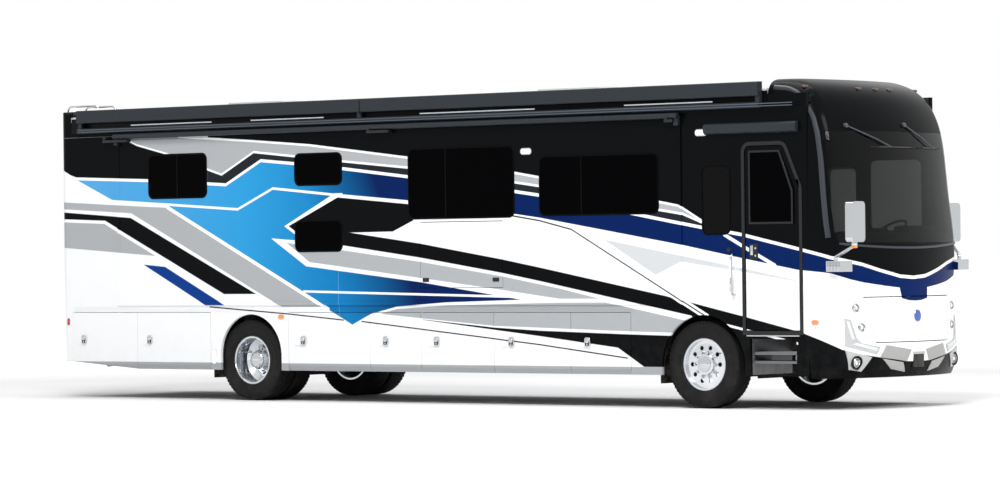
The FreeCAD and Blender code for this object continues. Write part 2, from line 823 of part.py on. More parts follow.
def build_running_gear():
    """Make everything under the floor."""
    node("chassis_frame", build_frame())
    node("front_axle", build_front_axle())
    node("rear_axle", build_rear_axle())
    node("air_springs", build_air_springs())
    node("engine_block", build_engine())
    for word, side in SIDES.items():
        node(f"knuckle_{word}", build_knuckle(side))
    tank_reach = "(rail_spread / 2 - rail_width / 2 - seat_gap)"
    node("fuel_tank", box("fuel_tank", ("front_axle_x - tank_back", "front_axle_x - tank_back + tank_length"),
                          (f"-{tank_reach}", tank_reach),
                          ("rail_bottom - tank_drop", "rail_bottom + rail_height")))
    build_wheels()


# Body

SEAMS = [TAIL_SEAM, f"({TAIL_SEAM} + bay_one_width)", f"({REAR_AXLE} - fender_back)",
         f"({REAR_AXLE} + fender_front)"]
for bay in ("three", "four", "five", "six", "seven"):
    SEAMS.append(f"({SEAMS[-1]} + bay_{bay}_width)")
BAYS = {"one": (0, 1), "two": (1, 2), "three": (3, 4), "four": (4, 5), "five": (5, 6), "six": (6, 7),
        "seven": (7, 8)}
LEFT_DOORS = ("one", "two", "three", "five", "six")
SKIN = "(body_width / 2)"
FENDER_DEPTH = "(bay_depth_inset - seat_gap)"


def wall_span(side, outer="0", inner="wall_thickness"):
    """Return the (low, high) pair across a side wall, from distances in from the body's side."""
    return mirrored(f"{SKIN} - ({inner})", f"{SKIN} - ({outer})", side)


def through(side):
    """Return a (low, high) pair that passes right through a side wall."""
    return wall_span(side, "-cut_over", "cut_over")


def ahead(name):
    """Return the place of a size that is measured ahead of the front axle."""
    return f"(front_axle_x + {name})"


def behind(name):
    """Return the place of a size that is measured behind the front axle."""
    return f"(front_axle_x - {name})"


def door_outline(inset, sill=None):
    """Return the entry door's outline, its front top corner slanted, moved in all round by an inset."""
    slant = "atan(door_slant_run / door_slant_drop)"
    low = sill or f"door_sill + {inset}"
    return [
        (f"{ahead('door_back')} + {inset}", low),
        (f"{ahead('door_front')} - {inset}", low),
        (f"{ahead('door_front')} - {inset}", f"door_head - door_slant_drop - {inset} * tan({slant} / 2)"),
        (f"{ahead('door_front')} - door_slant_run - {inset} * tan(45 deg - {slant} / 2)",
         f"door_head - {inset}"),
        (f"{ahead('door_back')} + {inset}", f"door_head - {inset}"),
    ]


def door_slab(name, inset, span, sill=None, corner="door_corner"):
    """Extrude the entry door's outline across the wall."""
    return prism(name, "XZ", door_outline(inset, sill), span[0], span[1],
                 [(f"{corner} - {inset}", (4,)), (f"{corner} - {inset}", (3,)),
                  (f"{corner} * 1.5 - {inset}", (2,))])


SLIDE_WINDOWS = {
    "bedroom": ("bedroom_window", "bedroom_window"),
    "upper_bath": ("bath_window", "upper_bath_window"),
    "lower_bath": ("bath_window", "lower_bath_window"),
    "lounge": ("lounge_window", "lounge_window"),
    "dinette": ("dinette_window", "dinette_window"),
}


def window(name, spots, span, inset="0"):
    """Make a round-cornered window, or the cutter for one, of a slide-out or rear wall."""
    along, tall = spots
    return panel(name, (behind(f"{along}_back"), behind(f"{along}_front")), (f"{tall}_sill", f"{tall}_head"),
                 span, "window_corner", inset)


def cab_window(name, span, inset="0"):
    """Make the upright window beside the front wheel, or the cutter for it."""
    return panel(name, (ahead("cab_window_back"), ahead("cab_window_front")),
                 ("cab_window_sill", "cab_window_head"),
                 span, "window_corner", inset)


def driver_window(name, span, inset="0"):
    """Make the driver's side window, or the cutter for it."""
    return panel(name, (ahead("driver_window_back"), ahead("driver_window_front")),
                 ("driver_window_sill", "driver_window_head"), span, "window_corner", inset)


def slide_hole(side, back):
    """Make the cutter for a slide-out's hole in the side wall."""
    clear = "slide_flange - slide_gap"
    return box("slide_hole", (f"{behind(back)} + {clear}", f"{behind('slide_front')} - ({clear})"),
               through(side),
               (f"slide_bottom + {clear}", f"slide_top - ({clear})"))


def build_side_walls():
    """Make the two side walls with their holes for slide-outs, windows and the entry door."""
    length = (TAIL_SEAM, CAP_SEAM)
    height = ("wall_bottom", "wall_top")
    right = box("right_wall", length, wall_span(RIGHT), height)
    holes = [slide_hole(RIGHT, "slide_back"), cab_window("hole", through(RIGHT)),
             door_slab("door_hole", "panel_gap / 2", through(RIGHT))]
    node("side_wall_right", cut("side_wall_right", right, holes))
    left = box("left_wall", length, wall_span(LEFT), height)
    rear_windows = [window("hole", SLIDE_WINDOWS[name], through(LEFT)) for name in ("bedroom", "upper_bath")]
    holes = [slide_hole(LEFT, "left_slide_back"), cab_window("hole", through(LEFT)),
             driver_window("hole", through(LEFT)), *rear_windows]
    node("side_wall_left", cut("side_wall_left", left, holes))
    pane = wall_span(RIGHT, "0", "glass_thickness")
    left_pane = wall_span(LEFT, "0", "glass_thickness")
    panes = [cab_window("pane", pane, "seat_gap"), cab_window("pane", left_pane, "seat_gap"),
             driver_window("pane", left_pane, "seat_gap")]
    panes += [window("pane", SLIDE_WINDOWS[name], left_pane, "seat_gap")
              for name in ("bedroom", "upper_bath")]
    node("side_glass", gather("side_glass", panes))


def arch(side, axle, along, radius, height):
    """Make the cutters for a wheel arch: a round top and the straight sides under it."""
    span = through(side)
    middle = f"({axle} + {along})"
    return [rod("arch", "Y", radius, span[0], "2 * cut_over", (middle, height)),
            box("arch_sides", (f"{middle} - {radius}", f"{middle} + {radius}"), span, ("0", height))]


def build_fenders():
    """Make the fender panels round the wheels and the fixed skirt panels of the left side."""
    top = "wall_bottom - seat_gap"
    pieces = []
    for side in SIDES.values():
        rear = box("rear_fender", (f"{SEAMS[2]} + panel_gap / 2", f"{SEAMS[3]} - panel_gap / 2"),
                   wall_span(side, "0", FENDER_DEPTH), ("skirt_bottom", top))
        pieces.append(cut("rear_fender_arched", rear,
                          arch(side, REAR_AXLE, "rear_arch_ahead", "rear_arch_radius", "rear_arch_height")))
        front = box("front_fender", (f"{SEAMS[8]} + panel_gap / 2", CAP_SEAM),
                    wall_span(side, "0", FENDER_DEPTH),
                    ("skirt_bottom", top))
        holes = arch(side, "front_axle_x", "front_arch_ahead", "front_arch_radius", "front_arch_height")
        if side == RIGHT:
            holes.append(door_slab("door_hole", "panel_gap / 2", through(side)))
            holes.append(box("step_hole",
                             (f"{ahead('step_back')} - panel_gap * 2",
                              f"{ahead('step_front')} + panel_gap * 2"),
                             through(side), ("step_recess_bottom", "step_recess_top")))
        pieces.append(cut("front_fender_arched", front, holes))
    for name, (start, end) in BAYS.items():
        if name not in LEFT_DOORS:
            pieces.append(skirt_panel(LEFT, SEAMS[start], SEAMS[end], FENDER_DEPTH))
    node("fenders", gather("fenders", pieces))


def skirt_panel(side, start, end, depth="bay_door_thickness"):
    """Make a skirt panel, its bottom edge turned under, between two seams."""
    outer, inner, foot = SKIN, f"({SKIN} - ({depth}))", f"({SKIN} - turn_under_inset)"
    top = "wall_bottom - panel_gap"
    outline = [(outer, top), (outer, "skirt_bottom + turn_under"), (foot, "skirt_bottom"),
               (inner, "skirt_bottom"),
               (inner, top)]
    points = [(f"{side} * {across}", height) for across, height in outline]
    return prism("skirt", "YZ", points, f"{start} + panel_gap / 2", f"{end} - panel_gap / 2")


def build_bay_doors():
    """Make the baggage doors, each with its paddle latch near its rear edge."""
    for word, side in SIDES.items():
        for name, (start, end) in BAYS.items():
            if side == LEFT and name not in LEFT_DOORS:
                continue
            door = skirt_panel(side, SEAMS[start], SEAMS[end])
            if name == "one":
                points = [(f"{SEAMS[0]} - cut_over", "0"), (SEAMS[1], "0"), (SEAMS[1], "skirt_bottom"),
                          (SEAMS[0], "skirt_bottom + bay_door_rise"),
                          (f"{SEAMS[0]} - cut_over", "skirt_bottom + bay_door_rise")]
                door = cut("sloped_door", door, [prism("slope", "XZ", points, *through(side))])
            door = cut("pivoted_door", door, pivot_cutters(side, SEAMS[end]))
            middle = f"({SEAMS[start]} + latch_inset)"
            latch = panel("latch", (f"{middle} - latch_size / 2", f"{middle} + latch_size / 2"),
                          ("latch_height - latch_size / 2", "latch_height + latch_size / 2"),
                          mirrored(SKIN, f"{SKIN} + latch_depth", side), "latch_size * 0.3")
            node(f"bay_door_{word}_{name}", fuse(f"bay_door_{name}", [door, latch]))


def pivot_place(side, seam):
    """Return where a baggage door's upright pivot pin stands, along and across."""
    return f"({seam} - panel_gap / 2 - pivot_inset)", f"{side} * ({SKIN} - pivot_inset)"


def pivot_cutters(side, seam):
    """Make the cutters for a baggage door's pin bore and for the two lugs that hold the pin."""
    along, across = pivot_place(side, seam)
    clear = "(pivot_radius + seat_gap)"
    cutters = [rod("pivot_bore", "Z", "pivot_radius + running_gap", "pivot_bottom - panel_gap", "wall_bottom",
                   (along, across))]
    for height in ("low_lug", "high_lug"):
        cutters.append(box("lug_slot", (f"{along} - {clear}", f"{seam} + cut_over"),
                           mirrored(f"{SKIN} - cut_over", f"{SKIN} - pivot_inset + {clear}", side),
                           (f"{height} - lug_height / 2 - seat_gap * 2",
                            f"{height} + lug_height / 2 + seat_gap * 2")))
    return cutters


def build_pivot(side, seam):
    """Make a baggage door's pivot pin with its two lugs, which stand on the bulkhead's edge."""
    along, across = pivot_place(side, seam)
    pieces = [rod("pivot_pin", "Z", "pivot_radius", "pivot_bottom", "wall_bottom - seat_gap - pivot_bottom",
                  (along, across))]
    for height in ("low_lug", "high_lug"):
        pieces.append(box("lug", (f"{along} - pivot_radius", f"{along} + pivot_radius"),
                          mirrored(f"{SKIN} - bay_depth_inset + seat_gap", f"{SKIN} - pivot_inset", side),
                          (f"{height} - lug_height / 2", f"{height} + lug_height / 2")))
    return fuse("pivot", pieces)


def build_stairs():
    """Make the two inside steps of the entry well as plates that meet."""
    span = (f"{ahead('step_back')} - panel_gap + seat_gap", f"{ahead('step_front')} + panel_gap - seat_gap")
    low, middle = "(step_recess_top)", "(step_recess_top + stair_rise)"
    edge = "(well_inner + stair_tread)"
    thick = "stair_thickness"
    plates = [
        ((edge, f"{SKIN} - wall_thickness - panel_gap"), (low, f"{low} + {thick}")),
        ((f"{edge} - {thick}", f"{edge} - seat_gap"), (low, f"{middle} - seat_gap")),
        (("well_inner", edge), (middle, f"{middle} + {thick}")),
        ((f"well_inner - {thick}", "well_inner - seat_gap"), (middle, "floor_bottom - seat_gap")),
    ]
    return [box("stair", span, mirrored(*across, RIGHT), tall) for across, tall in plates]


def build_basement():
    """Make the basement's bulkheads and trays and the entry well's sides, each plate by itself."""
    inner = "(rail_spread / 2 + rail_width / 2 + seat_gap)"
    outer = f"({SKIN} - bay_depth_inset)"
    plates = []
    for side in SIDES.values():
        across = mirrored(inner, outer, side)
        for index, seam in enumerate(SEAMS):
            half = "bulkhead_thickness / 2"
            plates.append(box("bulkhead", (f"{seam} - {half}", f"{seam} + {half}"), across,
                              ("tray_bottom" if index else "tray_bottom + bay_door_rise", "floor_bottom")))
        for start, end in BAYS.values():
            low = "tray_bottom + bay_door_rise" if start == 0 else "tray_bottom"
            gap = "bulkhead_thickness / 2 + seat_gap"
            plates.append(box("tray", (f"{SEAMS[start]} + {gap}", f"{SEAMS[end]} - ({gap})"), across,
                              (low, f"{low} + tray_thickness")))
        for name, (start, end) in BAYS.items():
            if side == RIGHT or name in LEFT_DOORS:
                plates.append(build_pivot(side, SEAMS[end]))
    back, front = f"({ahead('step_back')} - panel_gap)", f"({ahead('step_front')} + panel_gap)"
    run = mirrored(f"{SKIN} - wall_thickness - step_length", f"{SKIN} - wall_thickness", RIGHT)
    rail = ("(step_bottom + step_top - runner_height) / 2", "(step_bottom + step_top + runner_height) / 2")
    for plate, runner in (((f"{back} - bulkhead_thickness", back), (back, f"{back} + panel_gap - seat_gap")),
                          ((front, f"{front} + bulkhead_thickness"),
                           (f"{front} - panel_gap + seat_gap", front))):
        side_plate = box("well_side", plate, mirrored(inner, outer, RIGHT),
                         ("step_recess_bottom", "floor_bottom"))
        plates.append(fuse("well_side_railed", [side_plate, box("runner", runner, run, rail)]))
    return gather("basement", plates + build_stairs())


def build_floor():
    """Make the cabin floor in plates, with the entry well left open, and the raised cover over the engine."""
    tall = ("floor_bottom", FLOOR_TOP)
    reach = "(engine_width / 2 + engine_cover_gap)"
    front = f"({TAIL} + engine_rear_gap + engine_length + engine_cover_gap)"
    back_edge, front_edge = ahead("step_back"), ahead("step_front")
    pieces = [box("rear_floor", (TAIL_SEAM, f"{front} - seat_gap"), mirrored(reach, INNER, side), tall)
              for side in SIDES.values()]
    for name, ends, across in (("main_floor", (front, f"{back_edge} - seat_gap"), f"-{INNER}"),
                               ("well_floor", (back_edge, f"{front_edge} - seat_gap"), "-well_inner"),
                               ("cab_floor", (front_edge, CAP_SEAM), f"-{INNER}")):
        pieces.append(box(name, ends, (across, INNER), tall))
    swing = box("door_swing", (f"{DOOR_PIVOT} - door_swing_back", f"{ahead('door_front')} + cut_over"),
                (f"-({INNER} + cut_over)", f"-({INNER} - door_swing_depth)"),
                ("floor_bottom - cut_over", f"{FLOOR_TOP} + cut_over"))
    pieces[-1] = cut("cab_floor_cut", pieces[-1], [swing])
    top = "(engine_bottom + engine_height + engine_cover_gap)"
    low = f"{FLOOR_TOP} + seat_gap"
    for side in SIDES.values():
        pieces.append(box("cover_side", (TAIL_SEAM, f"{front} - seat_gap"),
                          mirrored(reach, f"{reach} + tray_thickness", side), (low, f"{top} - seat_gap")))
    pieces.append(box("cover_front", (front, f"{front} + tray_thickness"),
                      (f"-({reach} + tray_thickness)", f"{reach} + tray_thickness"),
                      (low, f"{top} - seat_gap")))
    pieces.append(box("cover_top", (TAIL_SEAM, f"{front} + tray_thickness"),
                      (f"-({reach} + tray_thickness)", f"{reach} + tray_thickness"),
                      (top, f"{top} + tray_thickness")))
    return gather("floor", pieces)


def build_roof():
    """Make the crowned roof slab."""
    edge = "wall_top + roof_edge"
    half = [(SKIN, edge), (f"{SKIN} * 0.92", f"{edge} + roof_rise * 0.35"),
            (f"{SKIN} * 0.55", f"{edge} + roof_rise * 0.85")]
    other = [(f"-{across}", height) for across, height in reversed(half)]
    points = [(f"-{SKIN}", "wall_top"), (SKIN, "wall_top"), *half, ("0", f"{edge} + roof_rise"), *other]
    return prism("roof", "YZ", points, TAIL_SEAM, ahead("dome_back"))


# The front cap's outline at each height: the share of the height, how far the nose lies back,
# how far each side lies in and how large the corner is, as shares of the corner radius,
# and the share of the bow's radius
CAP_SHARES = [
    (0.000, 0.20, 0.09, 0.86, 0.69), (0.035, 0.06, 0.03, 0.86, 0.69), (0.100, 0.00, 0.00, 0.86, 0.69),
    (0.220, 0.07, 0.00, 0.86, 0.69), (0.270, 0.12, 0.00, 0.80, 0.72), (0.448, 0.29, 0.00, 0.60, 1.00),
    (0.593, 0.46, 0.01, 0.58, 1.00), (0.723, 0.60, 0.02, 0.58, 1.00), (0.820, 0.75, 0.03, 0.60, 1.00),
    (0.892, 1.00, 0.06, 0.66, 1.00), (0.945, 1.34, 0.12, 0.80, 0.96), (0.978, 1.80, 0.26, 0.80, 1.00),
    (1.000, 2.40, 0.75, 0.60, 1.00),
]


def cap_solid(inset, back, lower="0"):
    """Loft the front cap's outline up its height, moved in all round by an inset."""
    offset = value(inset)
    corner = value("cap_corner")
    low = value("cap_bottom")
    height = value("cap_top") - low
    wires = []
    levels = [(low + share * height, *rest) for share, *rest in CAP_SHARES]
    levels[-1] = (levels[-1][0] - offset, *levels[-1][1:])
    if value(lower):
        levels.insert(0, (low - value(lower), *levels[0][1:]))
    for level, back_share, side_share, corner_share, bow_share in levels:
        nose = value(NOSE) - back_share * corner - offset
        half = value(SKIN) - side_share * corner - offset
        radius = corner * corner_share - offset
        bow = value("cap_bow") * bow_share - offset
        wires.append(cap_outline(level, nose, half, radius, bow, value(back)))
    return Part.makeLoft(wires, True, False)


def cap_outline(level, nose, half, radius, bow, back):
    """Return a level outline: straight sides, round corners and a gently bowed front."""
    middle = Vector(nose - bow, 0, level)
    corner_y = half - radius
    corner_x = middle.x + math.sqrt((bow - radius) ** 2 - corner_y ** 2)
    lean = math.atan2(corner_y, corner_x - middle.x)
    far = Vector(middle.x + bow * math.cos(lean), bow * math.sin(lean), level)
    turn = (math.pi / 2 + lean) / 2
    bend = Vector(corner_x + radius * math.cos(turn), corner_y + radius * math.sin(turn), level)
    side = Vector(corner_x, half, level)
    flip = [Vector(spot.x, -spot.y, spot.z) for spot in (side, bend, far)]
    front = Vector(nose, 0, level)
    start, end = Vector(back, half, level), Vector(back, -half, level)
    edges = [Part.LineSegment(start, side), Part.Arc(side, bend, far), Part.Arc(far, front, flip[2]),
             Part.Arc(flip[2], flip[1], flip[0]), Part.LineSegment(flip[0], end),
             Part.LineSegment(end, start)]
    return Part.Wire([edge.toShape() for edge in edges])


def build_front():
    """Make the front cap, windscreen, hood, bumper, lamps, dashboard and mirrors."""
    back = ahead("dome_back")
    outer = shaped("cap_outer", cap_solid("0", back))
    skin = shaped("cap_skin", cap_solid("glass_thickness", f"{back} - cut_over", "cut_over"))
    inner = shaped("cap_inner", cap_solid("cap_thickness", f"{back} - cut_over", "cut_over"))
    shell = cut("cap_shell", outer, [inner])
    reach = (ahead("screen_from"), f"{NOSE} + cut_over")
    screen = prism("screen_hole", "YZ", screen_outline("0"), *reach, [("window_corner", (0, 1, 2, 3))])
    pane = prism("screen_zone", "YZ", screen_outline("seat_gap"), *reach,
                 [("window_corner - seat_gap", (0, 1, 2, 3))])
    hood_hole = prism("hood_hole", "YZ", hood_outline("0"), *reach)
    hood_zone = prism("hood_zone", "YZ", hood_outline("panel_gap * 1.75"), *reach)
    wide = (f"-{SKIN} - cut_over", f"{SKIN} + cut_over")
    behind_seam = box("behind_seam", (f"{back} - cut_over", CAP_SEAM), wide, ("0", "wall_top"))
    low = box("bumper_zone", (CAP_SEAM, f"{NOSE} + cut_over"), wide, ("0", "bumper_top"))
    lower = box("bumper_cut", (f"{back} - cut_over", f"{NOSE} + cut_over"), wide,
                ("0", "bumper_top + seat_gap"))
    holes = lamp_rods("seat_gap")
    cap = cut("front_cap_cut", shell, [screen, hood_hole, behind_seam, lower, *holes])
    node("front_cap", fuse("front_cap", [cap, *hood_pins()]))
    node("windshield", cut("windshield", common("screen_block", outer, pane), [skin]))
    node("front_hood",
         cut("front_hood", fuse("hood_armed", [common("hood", shell, hood_zone), *hood_arms()]),
             hood_bores()))
    node("front_bumper", cut("bumper_holed", common("bumper", shell, low), lamp_rods("seat_gap")))
    node("dashboard", build_dashboard())
    return outer


def hood_pins():
    """Make the hood's two hinge pins, each between two cheeks that reach back from the cap's inner face."""
    pin, height = ahead("hood_pivot_ahead"), "hood_pivot_height"
    pieces = []
    for side in SIDES.values():
        inner, outer = "hood_arm_offset - hood_arm_width", "hood_arm_offset + hood_arm_width"
        ends = mirrored(f"{inner} - lug_height", f"{outer} + lug_height", side)
        pieces.append(rod("hood_pin", "Y", "pivot_radius", ends[0], f"({ends[1]}) - ({ends[0]})",
                          (pin, height)))
        for near, far in ((f"{inner} - lug_height", inner), (outer, f"{outer} + lug_height")):
            pieces.append(box("hood_cheek", (f"{pin} - pivot_inset", f"{pin} + hood_cheek_reach"),
                              mirrored(near, far, side),
                              (f"{height} - pivot_inset", f"{height} + pivot_inset")))
    return pieces


def hood_arms():
    """Make the hood's two bent arms, which swing under the cap's lower edge as the hood lifts."""
    pin, height = ahead("hood_pivot_ahead"), "hood_pivot_height"
    outline = [("0", "pivot_inset"), ("-hood_arm_back", "-hood_arm_drop"),
               ("-hood_knee_back", "-hood_knee_drop"),
               ("hood_arm_reach", "-hood_arm_low"), ("hood_arm_reach", "-(hood_arm_low - hood_arm_width)"),
               ("-(hood_knee_back - hood_arm_width * 1.3)", "-(hood_knee_drop - hood_arm_width * 1.2)"),
               ("-(hood_arm_back - hood_arm_width)", "-(hood_arm_drop + hood_arm_width * 0.7)"),
               ("0", "-pivot_inset")]
    points = [(f"{pin} + {along}", f"{height} + {up}") for along, up in outline]
    arms = []
    for side in SIDES.values():
        ends = mirrored("hood_arm_offset - hood_arm_width / 2", "hood_arm_offset + hood_arm_width / 2", side)
        arms.append(fuse("hood_arm_eyed", [
            prism("hood_arm", "XZ", points, *ends),
            rod("hood_eye", "Y", "pivot_inset", ends[0], "hood_arm_width", (pin, height))]))
    return arms


def hood_bores():
    """Make the cutters for the bores in the hood's arms."""
    return [rod("hood_bore", "Y", "pivot_radius + running_gap", f"{side} * hood_arm_offset - hood_arm_width",
                "hood_arm_width * 2", (ahead("hood_pivot_ahead"), "hood_pivot_height"))
            for side in SIDES.values()]


def screen_outline(inset):
    """Return the windscreen's outline seen from the front."""
    half = f"(screen_half_width - {inset})"
    return [(f"-{half}", f"screen_sill + {inset}"), (half, f"screen_sill + {inset}"),
            (half, f"screen_head - {inset}"), (f"-{half}", f"screen_head - {inset}")]


def hood_outline(inset):
    """Return the front hood's outline seen from the front, narrower at its foot."""
    top, foot = f"(hood_top_half - {inset})", f"(hood_bottom_half - {inset})"
    return [(f"-{foot}", f"hood_bottom + {inset}"), (foot, f"hood_bottom + {inset}"),
            (top, f"hood_top - {inset}"), (f"-{top}", f"hood_top - {inset}")]


LAMPS = {
    "upper_round": ("round_lamp_radius", "round_lamp_half", "upper_lamp_height"),
    "lower_round": ("round_lamp_radius", "lower_lamp_half", "lower_lamp_height"),
    "fog": ("fog_lamp_radius", "fog_lamp_half", "fog_lamp_height"),
}


def lamp_rods(extra):
    """Make a rod for each front lamp, larger by an extra where it cuts the lamp's hole."""
    rods = []
    for radius, across, height in LAMPS.values():
        for side in SIDES.values():
            rods.append(rod("lamp", "X", f"{radius} + {extra}", ahead("lamp_from"), "lamp_length",
                            (f"{side} * {across}", height)))
    return rods


STEERING_TILT = 35


def build_dashboard():
    """Make the dashboard under the windscreen and the steering wheel on its column."""
    room = shaped("cab_room", cap_solid("cap_thickness + panel_gap", ahead("dome_back")))
    firewall = f"{ahead('dash_back')} + dash_foot_depth"
    points = [(ahead("dash_back"), FLOOR_TOP), (firewall, FLOOR_TOP), (firewall, "dash_under"),
              (f"{NOSE} + cut_over", "dash_under"), (f"{NOSE} + cut_over", "screen_sill - panel_gap"),
              (f"{ahead('dash_back')} + dash_depth * 0.7", "dash_top"),
              (ahead("dash_back"), "dash_top - dash_depth * 0.25")]
    block = prism("dash_block", "XZ", points, f"-({INNER} - seat_gap)", f"({INNER} - seat_gap)")
    dash = common("dash", room, block)
    wheel = doc.addObject("Part::Torus", unique("steering_wheel"))
    wheel.Placement = Placement(Vector(), Rotation(Vector(0, 1, 0), -STEERING_TILT))
    bind(wheel, Radius1="steering_wheel_radius", Radius2="steering_wheel_rim")
    hub = (f"({ahead('dash_back')} - steering_gap)", "seat_spread / 2", f"({FLOOR_TOP} + steering_height)")
    place(wheel, *hub)
    column = doc.addObject("Part::Cylinder", unique("steering_column"))
    column.Placement = Placement(Vector(), Rotation(Vector(0, 1, 0), 180 - STEERING_TILT))
    place(bind(column, Radius="steering_wheel_rim * 2", Height="steering_column_length"), *hub)
    spoke = rod("spoke", "Y", "steering_wheel_rim * 0.6", "seat_spread / 2 - steering_wheel_radius",
                "steering_wheel_radius * 2", (hub[0], hub[2]))
    return fuse("dashboard", [dash, wheel, column, spoke])


def build_tail():
    """Make the rear cap and the engine door in it."""
    def profile(inset, front):
        return [(front, "tail_bottom"), (f"{TAIL} + tail_lean_low + {inset}", "tail_bottom"),
                (f"{TAIL} + {inset}", "tail_bottom + (tail_top - tail_bottom) * tail_knee_share"),
                (f"{TAIL} + tail_lean_top + {inset}", f"tail_top - {inset}"), (front, f"tail_top - {inset}")]

    def form(name, inset, front, low):
        side = prism(name, "XZ", profile(inset, front), f"-{SKIN} + {inset}", f"{SKIN} - {inset}")
        plan = [(front, f"-{SKIN} + {inset}"), (front, f"{SKIN} - {inset}"),
                (f"{TAIL} + {inset}", f"{SKIN} - {inset}"),
                (f"{TAIL} + {inset}", f"-{SKIN} + {inset}")]
        top = prism(name, "XY", plan, low, "tail_top + cut_over", [(f"tail_corner - {inset}", (2, 3))])
        ends = [(f"-{SKIN} + {inset}", low), (f"{SKIN} - {inset}", low),
                (f"{SKIN} - {inset}", f"tail_top - {inset}"),
                (f"-{SKIN} + {inset}", f"tail_top - {inset}")]
        face = prism(name, "YZ", ends, f"{TAIL} - cut_over", f"{front} + cut_over",
                     [(f"tail_edge - {inset}", (2, 3))])
        return common(name, common(name, side, top), face)

    outer = form("tail_outer", "0", TAIL_SEAM, "tail_bottom")
    inner = form("tail_inner", "wall_thickness", f"{TAIL_SEAM} + cut_over", "tail_bottom - cut_over")
    below = box("tail_open", (f"{TAIL} + tail_lean_low + wall_thickness", TAIL_SEAM + " + cut_over"),
                (f"-{SKIN} + wall_thickness + tail_corner", f"{SKIN} - wall_thickness - tail_corner"),
                ("0", "tail_bottom + wall_thickness"))
    shell = cut("tail_shell", outer, [inner, below])
    hole = box("engine_door_hole", (f"{TAIL} - cut_over", TAIL_SEAM),
               ("-engine_door_half", "engine_door_half"),
               ("engine_door_bottom", "engine_door_top"))
    zone = box("engine_door_zone", (f"{TAIL} - cut_over", TAIL_SEAM),
               ("-engine_door_half + panel_gap", "engine_door_half - panel_gap"),
               ("engine_door_bottom + panel_gap", "engine_door_top - panel_gap * 1.5"))
    rods = tail_rods("seat_gap")
    node("rear_cap",
         fuse("rear_cap", [cut("rear_cap_cut", shell, [hole, *rods]), *engine_door_pins("0", "0")]))
    node("engine_door",
         cut("engine_door", common("engine_leaf", shell, zone), engine_door_pins("running_gap", "seat_gap")))
    return outer


ENGINE_PIVOT_HEIGHT = "(engine_door_top - panel_gap * 1.5 - pivot_inset)"
ENGINE_PIVOT = (f"({TAIL} + pivot_inset + tail_lean_low * (1 - ({ENGINE_PIVOT_HEIGHT} - tail_bottom)"
                " / ((tail_top - tail_bottom) * tail_knee_share)))")


def engine_door_pins(extra, longer):
    """Make the two pins that the engine door hangs on, or with an extra their bores."""
    reach = f"side_pivot_reach + {longer}"
    return [rod("engine_door_pin", "Y", f"pivot_radius + {extra}", start, reach,
                (ENGINE_PIVOT, ENGINE_PIVOT_HEIGHT))
            for start in ("-engine_door_half - pivot_inset / 2",
                          f"engine_door_half + pivot_inset / 2 - ({reach})")]


def tail_rods(extra):
    """Make a rod for each tail lamp, larger by an extra where it cuts the lamp's hole."""
    return [rod("tail_lamp", "X", f"tail_lamp_radius + {extra}", f"{TAIL} - cut_over", "cut_over * 2",
                (f"{side} * tail_lamp_half", height))
            for side in SIDES.values()
            for height in ("tail_lamp_height", "tail_lamp_height + tail_lamp_pitch")]


def build_lamps(front_outer, tail_outer):
    """Make the front and rear lamps, flush with the caps that hold them."""
    front = common("front_lamps", front_outer, gather("front_lamp_rods", lamp_rods("0")))
    rear = common("rear_lamps", tail_outer, gather("rear_lamp_rods", tail_rods("0")))
    node("lamps", gather("lamps", [front, rear]))


# Slide-outs and doors

def build_slide(word, side, back):
    """Make a slide-out: flange, outer wall with its windows, and the open box behind it."""
    along = (behind(back), behind("slide_front"))
    tall = ("slide_bottom", "slide_top")
    shrink = lambda pair, by: (f"{pair[0]} + {by}", f"{pair[1]} - ({by})")
    proud = mirrored(SKIN, f"{SKIN} + slide_flange_thickness", side)
    plate = box("flange", along, proud, tall)
    frame = cut("flange_ring", plate, [box("flange_hole", shrink(along, "slide_flange"), through(side),
                                           shrink(tall, "slide_flange"))])
    body_x, body_z = shrink(along, "slide_flange"), shrink(tall, "slide_flange")
    solid = box("slide_solid", body_x, mirrored(f"{SKIN} - slide_depth", f"{SKIN} + slide_face_proud", side),
                body_z)
    room = box("slide_room", shrink(body_x, "slide_wall"),
               mirrored(f"{SKIN} - slide_depth - cut_over", f"{SKIN} - slide_wall", side),
               shrink(body_z, "slide_wall"))
    names = list(SLIDE_WINDOWS) if side == RIGHT else ["lounge", "dinette"]
    span = through(side)
    holes = [window("hole", SLIDE_WINDOWS[name], span) for name in names]
    pieces = [frame, cut("slide_shell", solid, [room])]
    if side == RIGHT:
        media = (behind("media_back"), behind("media_front"))
        heights = ("media_bottom", "media_top")
        depth = mirrored(f"{SKIN} - slide_wall - media_recess", f"{SKIN} - slide_wall", side)
        pieces.append(box("media_pan", shrink(media, "-bulkhead_thickness"), depth,
                          shrink(heights, "-bulkhead_thickness")))
        holes.append(box("media_hole", media,
                         mirrored(f"{SKIN} - slide_wall - media_recess + bulkhead_thickness",
                                                       f"{SKIN} + cut_over", side), heights))
    shell = cut("slide_open", fuse("slide_pieces", pieces), holes)
    node(f"slide_{word}", fuse(f"slide_{word}", [shell, *media_pins("0", "0")]) if side == RIGHT else shell)
    glass = mirrored(f"{SKIN} + slide_face_proud - glass_thickness", f"{SKIN} + slide_face_proud", side)
    node(f"slide_glass_{word}", gather("slide_glass", [window("pane", SLIDE_WINDOWS[name], glass, "seat_gap")
                                                       for name in names]))


